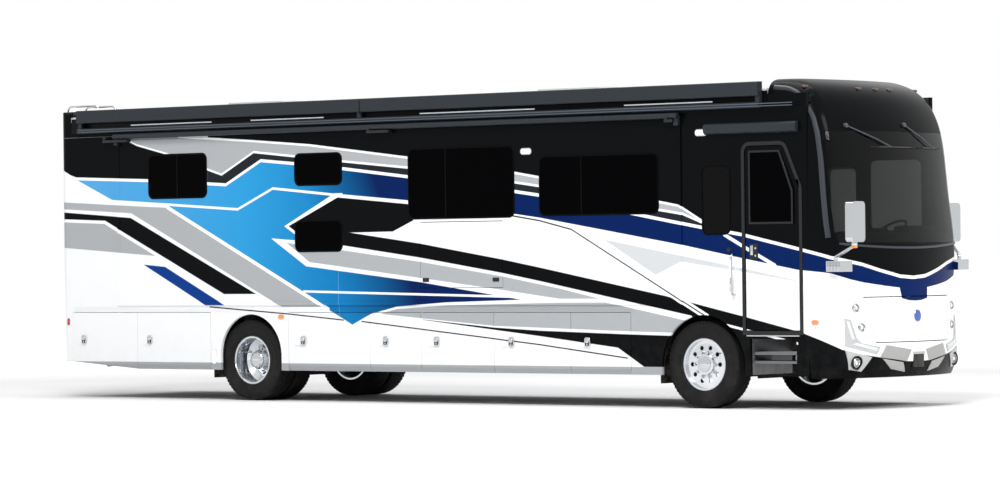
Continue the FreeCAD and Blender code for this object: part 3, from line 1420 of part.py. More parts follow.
def media_pins(extra, longer):
    """Make the two pins that the entertainment door hangs on, or with an extra their bores."""
    centre = (f"-({SKIN} + slide_face_proud - pivot_inset)", "media_top - panel_gap * 1.5 - pivot_inset")
    reach = f"side_pivot_reach + {longer}"
    return [rod("media_pin", "X", f"pivot_radius + {extra}", start, reach, centre)
            for start in (f"{behind('media_back')} - pivot_inset / 2",
                          f"{behind('media_front')} + pivot_inset / 2 - ({reach})")]


def build_media_door():
    """Make the outside entertainment door, hung from its top edge."""
    depth = mirrored(f"{SKIN} + slide_face_proud - media_door_thickness", f"{SKIN} + slide_face_proud", RIGHT)
    door = panel("media_door",
                 (f"{behind('media_back')} + panel_gap", f"{behind('media_front')} - panel_gap"),
                 ("media_bottom + panel_gap", "media_top - panel_gap * 1.5"), depth)
    return cut("media_door", door, media_pins("running_gap", "seat_gap"))


def build_entry():
    """Make the entry door, its glass, the frame round it and the sliding step under it."""
    proud = wall_span(RIGHT, "-door_frame_proud", "wall_thickness")
    ring = door_slab("door_frame", "(panel_gap / 2 + seat_gap)", proud)
    hole = door_slab("door_frame_hole", "door_frame_width", through(RIGHT))
    ring = cut("door_ring", ring, [hole, door_relief()])
    node("door_frame", fuse("door_frame", [ring, *door_hinges()]))
    flush = wall_span(RIGHT, "0", "wall_thickness")
    inset = "(door_frame_width + panel_gap * 1.5)"
    leaf = door_slab("door_leaf", inset, flush)
    margin = f"({inset} + door_window_margin)"
    hole = door_slab("door_window", margin, through(RIGHT), "door_window_sill")
    node("entry_door", cut("entry_door", leaf, [hole, *door_hinge_cutters()]))
    pane = wall_span(RIGHT, "0", "glass_thickness")
    node("entry_door_glass",
         door_slab("door_pane", f"({margin} + seat_gap)", pane, "door_window_sill + seat_gap"))
    node("entry_step", build_step())


DOOR_PIVOT = f"({ahead('door_front')} - door_frame_width - panel_gap * 1.5 - door_pivot_inset)"
DOOR_LUG_SHARES = (0.08, 0.36, 0.64)


def door_relief():
    """Make the cutter for the notch in the frame's slanted corner, where the opened leaf swings."""
    corner = door_outline("door_frame_width")[2][1]
    return box("door_relief", (f"{DOOR_PIVOT} - door_relief_back", f"{DOOR_PIVOT} + door_relief_front"),
               mirrored(f"{SKIN} - door_relief_depth", f"{SKIN} + door_frame_proud + cut_over", RIGHT),
               (f"{corner} - panel_gap", f"{corner} + door_relief_rise"))


def door_lug_heights():
    """Return the low and high edges of each of the entry door's hinge lugs."""
    rise = "(door_head - door_sill)"
    return [(f"door_sill + {rise} * {share}", f"door_sill + {rise} * {share} + lug_height * 2")
            for share in DOOR_LUG_SHARES]


def door_hinge_cutters():
    """Make the cutters for the entry door's pin bore and lug slots."""
    across = f"-({SKIN} - door_pivot_inset)"
    clear = "(door_pivot_radius + seat_gap)"
    top = "door_sill + (door_head - door_sill) * 0.75"
    bore = rod("door_bore", "Z", "door_pivot_radius + running_gap", "door_sill",
               f"{top} + seat_gap - door_sill",
               (DOOR_PIVOT, across))
    slots = [box("door_slot", (f"{DOOR_PIVOT} - {clear}", f"{DOOR_PIVOT} + cut_over"),
                 mirrored(f"{SKIN} - cut_over", f"{SKIN} - door_pivot_inset + {clear}", RIGHT),
                 (f"{low} - seat_gap", f"{high} + seat_gap")) for low, high in door_lug_heights()]
    return [bore, *slots]


def door_hinges():
    """Make the entry door's hinge pin and the bent lugs that hold it on the frame's inner edge."""
    across = f"-({SKIN} - door_pivot_inset)"
    near = f"{DOOR_PIVOT} - door_pivot_radius"
    jamb = f"({ahead('door_front')} - door_frame_width + door_lug_clear)"
    behind_leaf = f"({SKIN} - wall_thickness - door_lug_clear)"
    top = "door_sill + (door_head - door_sill) * 0.75"
    bottom = "door_sill + door_frame_width + panel_gap * 2"
    pieces = [rod("door_pin", "Z", "door_pivot_radius", bottom, f"({top}) - ({bottom})",
                  (DOOR_PIVOT, across))]
    for tall in door_lug_heights():
        pieces.append(box("door_lug", (near, f"{DOOR_PIVOT} + door_pivot_radius"),
                          mirrored(f"{behind_leaf} - door_lug_depth", f"{SKIN} - door_pivot_inset", RIGHT),
                          tall))
        pieces.append(box("door_lug_arm", (near, f"{jamb} + door_lug_depth"),
                          mirrored(f"{behind_leaf} - door_lug_depth", behind_leaf, RIGHT), tall))
        pieces.append(box("door_lug_foot", (jamb, f"{jamb} + door_lug_depth"),
                          mirrored(f"{behind_leaf} - door_lug_depth",
                                   f"{SKIN} - wall_thickness + door_lug_clear", RIGHT), tall))
    return pieces


def build_step():
    """Make the pull-out step: two treads between side plates."""
    along = (ahead("step_back"), ahead("step_front"))
    across = mirrored(f"{SKIN} - wall_thickness - step_length", f"{SKIN} - wall_thickness", RIGHT)
    treads = [box("tread", along, across, (low, f"{low} + tread_thickness"))
              for low in ("step_bottom", "step_top - tread_thickness")]
    sides = [box("step_side", (low, f"{low} + tread_thickness / 2"), across, ("step_bottom", "step_top"))
             for low in (along[0], f"{along[1]} - tread_thickness / 2")]
    return fuse("entry_step", [*treads, *sides])


# Things on the outside

def build_awnings():
    """Make the patio awning's case and roller and the entry door's awning."""
    along = (behind("awning_back"), ahead("awning_front"))
    reach = mirrored(SKIN, f"{SKIN} + awning_reach", RIGHT)
    case_points = [(reach[0], "awning_bottom"), (reach[1], "awning_bottom"), (reach[1], "awning_top"),
                   (reach[0], "awning_top")]
    case = prism("awning_case", "YZ", case_points, *along, [("awning_reach * 0.2", (0, 3))])
    centre = f"-({SKIN} + awning_reach / 2)"
    tube = rod("awning_tube", "X", "awning_tube_radius", along[0], f"({along[1]}) - ({along[0]})",
               (centre, "awning_tube_height"))
    arms = [box("awning_arm", (spot, f"{spot} + awning_arm"),
                mirrored(SKIN, f"{SKIN} + awning_reach * 0.6", RIGHT),
                ("awning_tube_height - awning_tube_radius / 2", "awning_bottom"))
            for spot in (along[0], behind("awning_split"), f"{along[1]} - awning_arm")]
    low, high = "door_awning_height - door_awning_radius", "door_awning_height + door_awning_radius"
    deep = mirrored(SKIN, f"{SKIN} + door_awning_radius", RIGHT)
    door_points = [(deep[0], low), (deep[1], low), (deep[1], high), (deep[0], high)]
    door_case = prism("door_awning", "YZ", door_points, ahead("door_awning_back"), ahead("door_awning_front"),
                      [("door_awning_radius * 0.8", (0, 3))])
    return gather("awnings", [fuse("patio_awning", [case, tube, *arms]), door_case])


def build_topper():
    """Make the slide-out's own awning roller and its two end brackets."""
    along = (behind("slide_back"), behind("slide_front"))
    centre = f"-({SKIN} + topper_reach)"
    tube = rod("topper_tube", "X", "topper_radius", along[0], f"{along[1]} - {along[0]}",
               (centre, "topper_height"))
    ends = [box("topper_end", (spot, f"{spot} + topper_end"),
                mirrored(f"{SKIN} + slide_flange_thickness + seat_gap", f"{SKIN} + topper_reach", RIGHT),
                ("slide_top - topper_end", "topper_height"))
            for spot in (along[0], f"{along[1]} - topper_end")]
    return fuse("slide_topper", [tube, *ends])


def build_hand_rails(tail_outer, roof):
    """Make the rear ladder with its roof hoops, and the grab handle beside the entry door."""
    stand = f"({TAIL} - ladder_stand_off)"
    top = "(tail_top + ladder_hoop_rise + ladder_tube)"
    pieces = []
    for across in ("ladder_outer", "ladder_inner"):
        route = [(stand, f"-{across}", "ladder_bottom"), (stand, f"-{across}", top),
                 (f"{stand} + ladder_hoop_length", f"-{across}", top),
                 (f"{stand} + ladder_hoop_length", f"-{across}", "wall_top + roof_edge / 2")]
        pieces.append(pipe("ladder_rail", route, "ladder_tube", "ladder_bend"))
        for share in (0.02, 0.42, 0.82):
            height = f"ladder_bottom + (tail_top - ladder_bottom) * {share}"
            pieces.append(rod("ladder_foot", "X", "ladder_tube", stand,
                              "ladder_stand_off * 2 + wall_thickness",
                              (f"-{across}", height)))
    steps = int(value("(tail_top - ladder_bottom) / rung_pitch"))
    for step in range(steps):
        pieces.append(rod("rung", "Y", "ladder_tube", "-ladder_outer", "ladder_outer - ladder_inner",
                          (stand, f"ladder_bottom + rung_pitch * ({step} + 0.4)")))
    ladder = cut("ladder", fuse("ladder_whole", pieces), [tail_outer, roof])
    out = f"-({SKIN} + handle_reach)"
    route = [(ahead("handle_ahead"), f"-{SKIN}", "handle_bottom"),
             (ahead("handle_ahead"), out, "handle_bottom"),
             (ahead("handle_ahead"), out, "handle_top"), (ahead("handle_ahead"), f"-{SKIN}", "handle_top")]
    return gather("hand_rails", [ladder, pipe("grab_handle", route, "ladder_tube", "ladder_bend * 0.6")])


def build_mirrors(front_outer):
    """Make the two outside mirrors: base on the cap's corner, bent arm and head."""
    made = []
    for side, head_ahead in ((RIGHT, "right_mirror_ahead"), (LEFT, "left_mirror_ahead")):
        centre = ahead("mirror_base_ahead")
        base = box("mirror_base",
                   (f"{centre} - mirror_base_length / 2", f"{centre} + mirror_base_length / 2"),
                   mirrored(f"{SKIN} - mirror_base_length", f"{SKIN} + mirror_base_reach * 0.4", side),
                   ("mirror_base_height - mirror_base_reach", "mirror_base_height + mirror_base_reach"))
        seated = cut("mirror_seated", base, [front_outer])
        head_mid = "(mirror_outer - mirror_head_width / 2)"
        route = [(centre, f"{side} * ({SKIN} - mirror_arm_radius)", "mirror_base_height"),
                 (centre, f"{side} * ({SKIN} - mirror_arm_radius)",
                  "mirror_base_height + mirror_base_reach * 1.8"),
                 (ahead(head_ahead), f"{side} * {head_mid}", "mirror_head_bottom - mirror_base_reach / 2"),
                 (ahead(head_ahead), f"{side} * {head_mid}", "mirror_head_bottom + mirror_head_height / 2")]
        arm = pipe("mirror_arm", route, "mirror_arm_radius", "mirror_arm_radius * 1.3")
        across = mirrored("mirror_outer - mirror_head_width", "mirror_outer", side)
        tall = ("mirror_head_bottom", "mirror_head_bottom + mirror_head_height")
        points = [(across[0], tall[0]), (across[1], tall[0]), (across[1], tall[1]), (across[0], tall[1])]
        head = prism("mirror_head", "YZ", points, f"{ahead(head_ahead)} - mirror_head_depth / 2",
                     f"{ahead(head_ahead)} + mirror_head_depth / 2",
                     [("mirror_head_width * 0.2", (0, 1, 2, 3))])
        made.append(fuse("mirror", [seated, arm, head]))
    return gather("mirrors", made)


def build_roof_units(roof):
    """Make the roof's two cooler covers and its vent lids, shaped to the crowned roof."""
    units = []
    for centre in ("cooler_front_back", "cooler_rear_back"):
        middle = behind(centre)
        units.append(panel_box("cooler", (f"{middle} - cooler_length / 2", f"{middle} + cooler_length / 2"),
                               ("-cooler_width / 2", "cooler_width / 2"), "cooler_height"))
    middle = behind("vent_back")
    units.append(panel_box("vent", (f"{middle} - vent_size / 2", f"{middle} + vent_size / 2"),
                           ("-vent_size / 2", "vent_size / 2"), "vent_height"))
    return gather("roof_units", [cut("seated_unit", unit, [roof]) for unit in units])


def panel_box(name, x, y, height):
    """Make a low roof cover with rounded upright corners, from inside the roof up."""
    points = [(x[0], y[0]), (x[1], y[0]), (x[1], y[1]), (x[0], y[1])]
    top = f"wall_top + roof_edge + roof_rise + {height}"
    return prism(name, "XY", points, "wall_top + roof_edge / 2", top, [("vent_height", (0, 1, 2, 3))])


def build_seats():
    """Make the driver's and the front passenger's seat, each on its pedestal."""
    seats = []
    for side in SIDES.values():
        middle = f"{side} * seat_spread / 2"
        low = ahead("seat_ahead")
        wide = (f"{middle} - seat_width / 2", f"{middle} + seat_width / 2")
        narrow = (f"{middle} - seat_width / 4", f"{middle} + seat_width / 4")
        cushion = box("cushion", (low, f"{low} + seat_depth"), wide,
                      (f"{FLOOR_TOP} + seat_height - seat_back_thickness", f"{FLOOR_TOP} + seat_height"))
        back = box("seat_back", (low, f"{low} + seat_back_thickness"), wide,
                   (f"{FLOOR_TOP} + seat_height", f"{FLOOR_TOP} + seat_height + seat_back_height"))
        pedestal = box("pedestal",
                       (f"{low} + seat_back_thickness", f"{low} + seat_depth - seat_back_thickness"), narrow,
                       (FLOOR_TOP, f"{FLOOR_TOP} + seat_height - seat_back_thickness"))
        seats.append(fuse("seat", [cushion, back, pedestal]))
    return gather("seats", seats)


def build_flaps():
    """Make the mud flaps behind the wheels."""
    flaps = []
    for side in SIDES.values():
        across = mirrored(f"{SKIN} - bay_depth_inset - flap_width", f"{SKIN} - bay_depth_inset", side)
        rear = f"({SEAMS[2]} + bulkhead_thickness / 2 + seat_gap)"
        flaps.append(box("rear_flap", (rear, f"{rear} + flap_thickness"), across,
                         ("flap_bottom", "floor_bottom - seat_gap")))
        front = "(front_axle_x - steer_sweep - flap_thickness)"
        flaps.append(box("front_flap", (front, f"{front} + flap_thickness"), across,
                         ("flap_bottom", "floor_bottom - seat_gap")))
    return gather("mud_flaps", flaps)


def build_all():
    """Make every piece of the coach."""
    build_running_gear()
    node("floor", build_floor())
    node("basement", build_basement())
    build_side_walls()
    build_fenders()
    build_bay_doors()
    roof = node("roof", build_roof())
    front_outer = build_front()
    tail_outer = build_tail()
    build_lamps(front_outer, tail_outer)
    build_slide("right", RIGHT, "slide_back")
    build_slide("left", LEFT, "left_slide_back")
    node("media_door", build_media_door())
    node("slide_topper", build_topper())
    build_entry()
    node("awnings", build_awnings())
    node("hand_rails", build_hand_rails(tail_outer, roof))
    node("mirrors", build_mirrors(front_outer))
    node("roof_units", build_roof_units(roof))
    node("seats", build_seats())
    node("mud_flaps", build_flaps())


def check_all():
    """Stop if any object of the document failed or any piece is empty or not valid."""
    failed = [thing.Name for thing in doc.Objects if {"Invalid", "Error"} & set(thing.State)]
    if failed:
        raise RuntimeError(f"failed objects: {failed}")
    for thing in nodes:
        if thing.Shape.isNull() or not thing.Shape.isValid() or not thing.Shape.Solids:
            raise RuntimeError(f"{thing.Label} has no valid solid")


build_all()
doc.recompute()
check_all()
os.makedirs("parts", exist_ok=True)
for thing in nodes:
    thing.Shape.exportStep(f"parts/{thing.Label}.step")
    print(thing.Label, len(thing.Shape.Solids), round(thing.Shape.Volume / 1e9, 4))
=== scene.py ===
"""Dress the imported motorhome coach: its paint, glass, wheels, lamps, fittings and cab, with a camera and soft light.

Lengths are metres in the coach's frame: +X forward, +Y left, +Z up. Stations along the coach are given as
metres ahead of the front axle, as a fitter would measure them, and `ahead` turns them into the frame's X.
"""
import logging
import math
from collections.abc import Iterator
from contextlib import contextmanager
from dataclasses import dataclass, field
from enum import Enum

import bpy
from bpy.types import Material, Node, NodeSocket, NodeTree, Object
from mathutils import Matrix, Vector


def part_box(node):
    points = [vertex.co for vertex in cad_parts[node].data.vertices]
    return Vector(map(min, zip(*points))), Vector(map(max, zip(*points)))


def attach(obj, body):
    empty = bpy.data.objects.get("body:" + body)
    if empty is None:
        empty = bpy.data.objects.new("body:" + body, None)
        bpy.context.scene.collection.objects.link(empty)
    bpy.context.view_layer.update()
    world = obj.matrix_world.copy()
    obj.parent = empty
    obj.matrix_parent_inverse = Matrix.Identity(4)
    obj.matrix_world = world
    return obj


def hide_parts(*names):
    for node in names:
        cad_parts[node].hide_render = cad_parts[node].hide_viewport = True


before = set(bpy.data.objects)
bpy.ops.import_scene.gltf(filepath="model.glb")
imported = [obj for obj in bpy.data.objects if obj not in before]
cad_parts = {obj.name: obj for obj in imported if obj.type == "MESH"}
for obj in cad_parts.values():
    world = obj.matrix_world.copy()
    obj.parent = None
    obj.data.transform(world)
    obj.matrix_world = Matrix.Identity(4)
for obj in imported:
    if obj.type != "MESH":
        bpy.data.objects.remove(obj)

log = logging.getLogger("coach")
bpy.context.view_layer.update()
FRONT_AXLE = 4.0235
SKIN = 1.275
REAR_AXLE = -7.027
TAIL = -10.327
Point = tuple[float, float, float]
Flat = tuple[float, float]


class Side(Enum):
    """The coach's two long sides, by the sign of their Y."""

    RIGHT = -1
    LEFT = 1

    @property
    def word(self) -> str:
        """Return the side's name as the CAD nodes spell it."""
        return self.name.lower()


def ahead(station: float) -> float:
    """Return the frame's X for a station ahead of the front axle."""
    return station + FRONT_AXLE


def deselect() -> None:
    """Leave nothing selected and be in object mode."""
    if bpy.context.object and bpy.context.object.mode != "OBJECT":
        bpy.ops.object.mode_set(mode="OBJECT")
    bpy.ops.object.select_all(action="DESELECT")


def hold(piece: Object) -> Object:
    """Select one piece alone and make it active.

    Args:
        piece: The object to work on.

    Returns:
        The same object.
    """
    deselect()
    piece.select_set(True)
    bpy.context.view_layer.objects.active = piece
    return piece


def settle(piece: Object) -> Object:
    """Put a piece's place, turn and scale into its mesh.

    Args:
        piece: The object whose transform is applied.

    Returns:
        The same object.
    """
    hold(piece)
    bpy.ops.object.transform_apply(location=True, rotation=True, scale=True)
    return piece


def modify(piece: Object, kind: str, **settings: object) -> Object:
    """Add one modifier to a piece and apply it.

    Args:
        piece: The object to change.
        kind: The modifier's type.
        settings: Its properties.

    Returns:
        The same object.
    """
    hold(piece)
    modifier = piece.modifiers.new(kind.lower(), kind)
    for key, amount in settings.items():
        setattr(modifier, key, amount)
    bpy.ops.object.modifier_apply(modifier=modifier.name)
    return piece


def rounded(piece: Object, width: float, segments: int = 2, angle: float = 35.0) -> Object:
    """Round a piece's sharp edges.

    Args:
        piece: The object to round.
        width: The width of the rounding.
        segments: How many steps it has.
        angle: Edges sharper than this many degrees are rounded.

    Returns:
        The same object.
    """
    if width <= 0:
        return piece
    return modify(piece, "BEVEL", width=width, segments=segments, limit_method="ANGLE", angle_limit=math.radians(angle))


def smooth(piece: Object, angle: float = 35.0) -> Object:
    """Shade a piece smooth but for edges sharper than an angle in degrees."""
    hold(piece)
    bpy.ops.object.shade_smooth_by_angle(angle=math.radians(angle))
    return piece


def drop(piece: Object) -> None:
    """Delete a helper piece."""
    hold(piece)
    bpy.ops.object.delete()


@contextmanager
def editing() -> Iterator[None]:
    """Be in edit mode with the whole mesh selected, and in object mode again at the end."""
    bpy.ops.object.mode_set(mode="EDIT")
    bpy.ops.mesh.select_all(action="SELECT")
    yield
    bpy.ops.object.mode_set(mode="OBJECT")


def outward(piece: Object) -> Object:
    """Merge a piece's doubled points and turn its faces outwards."""
    hold(piece)
    with editing():
        bpy.ops.mesh.remove_doubles(threshold=1e-5)
        bpy.ops.mesh.normals_make_consistent(inside=False)
    return piece


def block(low: Point, high: Point, round_by: float = 0.0, segments: int = 2) -> Object:
    """Add a box between two corners and round its edges.

    Args:
        low: The lowest corner.
        high: The highest corner.
        round_by: The width of the rounding.
        segments: Steps of the rounding.

    Returns:
        The new object.
    """
    deselect()
    middle = [(a + b) / 2 for a, b in zip(low, high)]
    bpy.ops.mesh.primitive_cube_add(size=1, location=middle)
    piece = bpy.context.object
    piece.scale = [abs(b - a) for a, b in zip(low, high)]
    settle(piece)
    return rounded(piece, round_by, segments)


def stick(start: Point, end: Point, radius: float, sides: int = 24, round_by: float = 0.0,
          end_radius: float | None = None) -> Object:
    """Add a cylinder or cone between two points.

    Args:
        start: The middle of its first end.
        end: The middle of its other end.
        radius: The radius at the first end.
        sides: How many sides it has.
        round_by: The width of its rims' rounding.
        end_radius: The radius at the other end, where it differs.

    Returns:
        The new object.
    """
    deselect()
    run = Vector(end) - Vector(start)
    turn = run.to_track_quat("Z", "Y").to_euler()
    bpy.ops.mesh.primitive_cone_add(vertices=sides, radius1=radius,
                                    radius2=radius if end_radius is None else end_radius, depth=run.length,
                                    location=(Vector(start) + Vector(end)) / 2, rotation=turn)
    piece = settle(bpy.context.object)
    return rounded(piece, round_by)


def tube(path: list[Point], radius: float, bend: float, sides: int = 12) -> Object:
    """Add a bent round tube along straight runs.

    Args:
        path: The corners of its run.
        radius: The tube's radius.
        bend: How far from each corner the bend starts.
        sides: How many sides the tube has.

    Returns:
        The new object, a mesh.
    """
    spots = [Vector(path[0])]
    for before, corner, after in zip(path, path[1:], path[2:]):
        corner = Vector(corner)
        for share in (0.0, 0.25, 0.5, 0.75, 1.0):
            near = corner + (Vector(before) - corner).normalized() * bend
            far = corner + (Vector(after) - corner).normalized() * bend
            spots.append((1 - share) ** 2 * near + 2 * share * (1 - share) * corner + share ** 2 * far)
    spots.append(Vector(path[-1]))
    deselect()
    bpy.ops.curve.primitive_nurbs_path_add()
    piece = bpy.context.object
    piece.location = (0, 0, 0)
    piece.data.splines.clear()
    spline = piece.data.splines.new("POLY")
    spline.points.add(len(spots) - 1)
    for point, spot in zip(spline.points, spots):
        point.co = (*spot, 1)
    piece.data.bevel_depth = radius
    piece.data.bevel_resolution = max(0, sides // 4 - 1)
    piece.data.use_fill_caps = True
    hold(piece)
    bpy.ops.object.convert(target="MESH")
    return settle(bpy.context.object)


PLACES = {"X": lambda a, b, c: (c, a, b), "Y": lambda a, b, c: (a, c, b), "Z": lambda a, b, c: (a, b, c)}


def plate(outline: list[Flat], axis: str, start: float, end: float, round_by: float = 0.0, segments: int = 2
          ) -> Object:
    """Add a plate with a drawn outline, extruded along one axis.

    Args:
        outline: Its corners, in the order of the two other axes.
        axis: The axis that it is extruded along: X, Y or Z.
        start: Where the extrusion starts.
        end: Where it ends.
        round_by: The width of its edges' rounding.
        segments: Steps of the rounding.

    Returns:
        The new object.
    """
    place = PLACES[axis]
    deselect()
    bpy.ops.mesh.primitive_circle_add(vertices=len(outline), radius=1, fill_type="NGON")
    piece = bpy.context.object
    for vertex, (first, second) in zip(piece.data.vertices, outline):
        vertex.co = place(first, second, start)
    with editing():
        bpy.ops.mesh.extrude_region_move(TRANSFORM_OT_translate={"value": place(0, 0, end - start)})
    return rounded(outward(piece), round_by, segments)


def spun(profile: list[Flat], centre: Point, axis: str = "Y", steps: int = 64, closed: bool = True) -> Object:
    """Spin a half section round an axis.

    Args:
        profile: Points along the axis and out from it, measured from the centre.
        centre: A point on the axis.
        axis: The axis: X, Y or Z.
        steps: How many steps make the full turn.
        closed: Whether the section's last point joins its first.

    Returns:
        The new object.
    """
    along = {"X": Vector((1, 0, 0)), "Y": Vector((0, 1, 0)), "Z": Vector((0, 0, 1))}[axis]
    out = {"X": Vector((0, 0, 1)), "Y": Vector((0, 0, 1)), "Z": Vector((1, 0, 0))}[axis]
    deselect()
    bpy.ops.mesh.primitive_circle_add(vertices=len(profile), radius=1, fill_type="NOTHING")
    piece = bpy.context.object
    for vertex, (length, radius) in zip(piece.data.vertices, profile):
        vertex.co = Vector(centre) + along * length + out * radius
    if not closed:
        with editing():
            bpy.ops.mesh.select_all(action="DESELECT")
        for edge in piece.data.edges:
            edge.select = set(edge.vertices) == {0, len(profile) - 1}
        bpy.ops.object.mode_set(mode="EDIT")
        bpy.ops.mesh.select_mode(type="EDGE")
        bpy.ops.mesh.delete(type="EDGE_FACE")
        bpy.ops.mesh.select_mode(type="VERT")
        bpy.ops.object.mode_set(mode="OBJECT")
    with editing():
        bpy.ops.mesh.spin(steps=steps, angle=math.tau, center=centre, axis=along)
    return outward(piece)


def joined(pieces: list[Object]) -> Object:
    """Join several objects into the first of them.

    Args:
        pieces: The objects, at least one.

    Returns:
        The one object that holds all their meshes.
    """
    if len(pieces) == 1:
        return pieces[0]
    deselect()
    for piece in pieces:
        piece.select_set(True)
    bpy.context.view_layer.objects.active = pieces[0]
    bpy.ops.object.join()
    return bpy.context.object


def copied(piece: Object, shift: Point) -> Object:
    """Copy a piece with its own mesh and move the copy.

    Args:
        piece: The object to copy.
        shift: How far the copy moves.

    Returns:
        The copy.
    """
    hold(piece)
    bpy.ops.object.duplicate(linked=False)
    copy = bpy.context.object
    copy.location = shift
    return settle(copy)


def flipped(piece: Object) -> Object:
    """Copy a piece to the other side of the coach.

    Args:
        piece: The object to mirror across the middle plane.

    Returns:
        The mirrored copy, its faces outwards.
    """
    copy = copied(piece, (0, 0, 0))
    copy.scale = (1, -1, 1)
    return outward(settle(copy))


def turned_about(piece: Object, centre: Point, axis: str, degrees: float) -> Object:
    """Turn a piece about an axis through a point.

    Args:
        piece: The object to turn.
        centre: A point on the axis.
        axis: The axis: X, Y or Z.
        degrees: The angle.

    Returns:
        The same object.
    """
    spot = Matrix.Translation(Vector(centre))
    piece.matrix_world = spot @ Matrix.Rotation(math.radians(degrees), 4, axis) @ spot.inverted() @ piece.matrix_world
    return settle(piece)


def fitted(piece: Object, name: str, finish: Material, body: str, angle: float = 35.0) -> Object:
    """Name a finished piece, give it its material and let it ride on a body.

    Args:
        piece: The object.
        name: Its name.
        finish: Its material.
        body: The CAD body that it moves with.
        angle: The edge angle for its shading.

    Returns:
        The same object.
    """
    piece.name = name
    piece.data.name = name
    piece.data.materials.clear()
    piece.data.materials.append(finish)
    smooth(piece, angle)
    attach(piece, body)
    log.info("%s: %d faces on %s", name, len(piece.data.polygons), body)
    return piece


def round_outline(low: Flat, high: Flat, radius: float, steps: int = 6) -> list[Flat]:
    """Return the outline of a rectangle with round corners.

    Args:
        low: Its lowest corner.
        high: Its highest corner.
        radius: The corners' radius.
        steps: Steps in each corner.

    Returns:
        The outline's points in order.
    """
    points: list[Flat] = []
    for centre_x, centre_z, start in ((high[0] - radius, high[1] - radius, 0), (low[0] + radius, high[1] - radius, 90),
                                      (low[0] + radius, low[1] + radius, 180),
                                      (high[0] - radius, low[1] + radius, 270)):
        for step in range(steps + 1):
            angle = math.radians(start + 90 * step / steps)
            points.append((centre_x + radius * math.cos(angle), centre_z + radius * math.sin(angle)))
    return points


def oblong(middle: Flat, half: Flat, radius: float) -> list[Flat]:
    """Return the outline of a rectangle with round corners about its middle."""
    low, high = ((middle[0] + sign * half[0], middle[1] + sign * half[1]) for sign in (-1, 1))
    return round_outline(low, high, radius)


def frame_ring(inner: list[Flat], outer: list[Flat], axis: str, start: float, end: float, round_by: float = 0.0
               ) -> Object:
    """Add a flat ring between two outlines with as many points each.

    Args:
        inner: The inner outline.
        outer: The outer outline.
        axis: The axis that it is extruded along.
        start: Where the extrusion starts.
        end: Where it ends.
        round_by: The width of its edges' rounding.

    Returns:
        The new object.
    """
    place = PLACES[axis]
    deselect()
    count = len(inner)
    bpy.ops.mesh.primitive_circle_add(vertices=count, radius=1, fill_type="NOTHING")
    piece = bpy.context.object
    with editing():
        bpy.ops.mesh.extrude_edges_move()
    for index, vertex in enumerate(piece.data.vertices):
        outline = inner if index < count else outer
        vertex.co = place(*outline[index % count], start)
    with editing():
        bpy.ops.mesh.extrude_region_move(TRANSFORM_OT_translate={"value": place(0, 0, end - start)})
    return rounded(outward(piece), round_by, 1, 50)


def hue(code: str) -> tuple[float, float, float, float]:
    """Return a screen colour such as 2596d4 as a linear colour.

    Args:
        code: Six hexadecimal digits.

    Returns:
        Red, green, blue and a full alpha.
    """
    parts = [int(code[start:start + 2], 16) / 255 for start in (0, 2, 4)]
    return (*[part / 12.92 if part <= 0.04045 else ((part + 0.055) / 1.055) ** 2.4 for part in parts], 1.0)


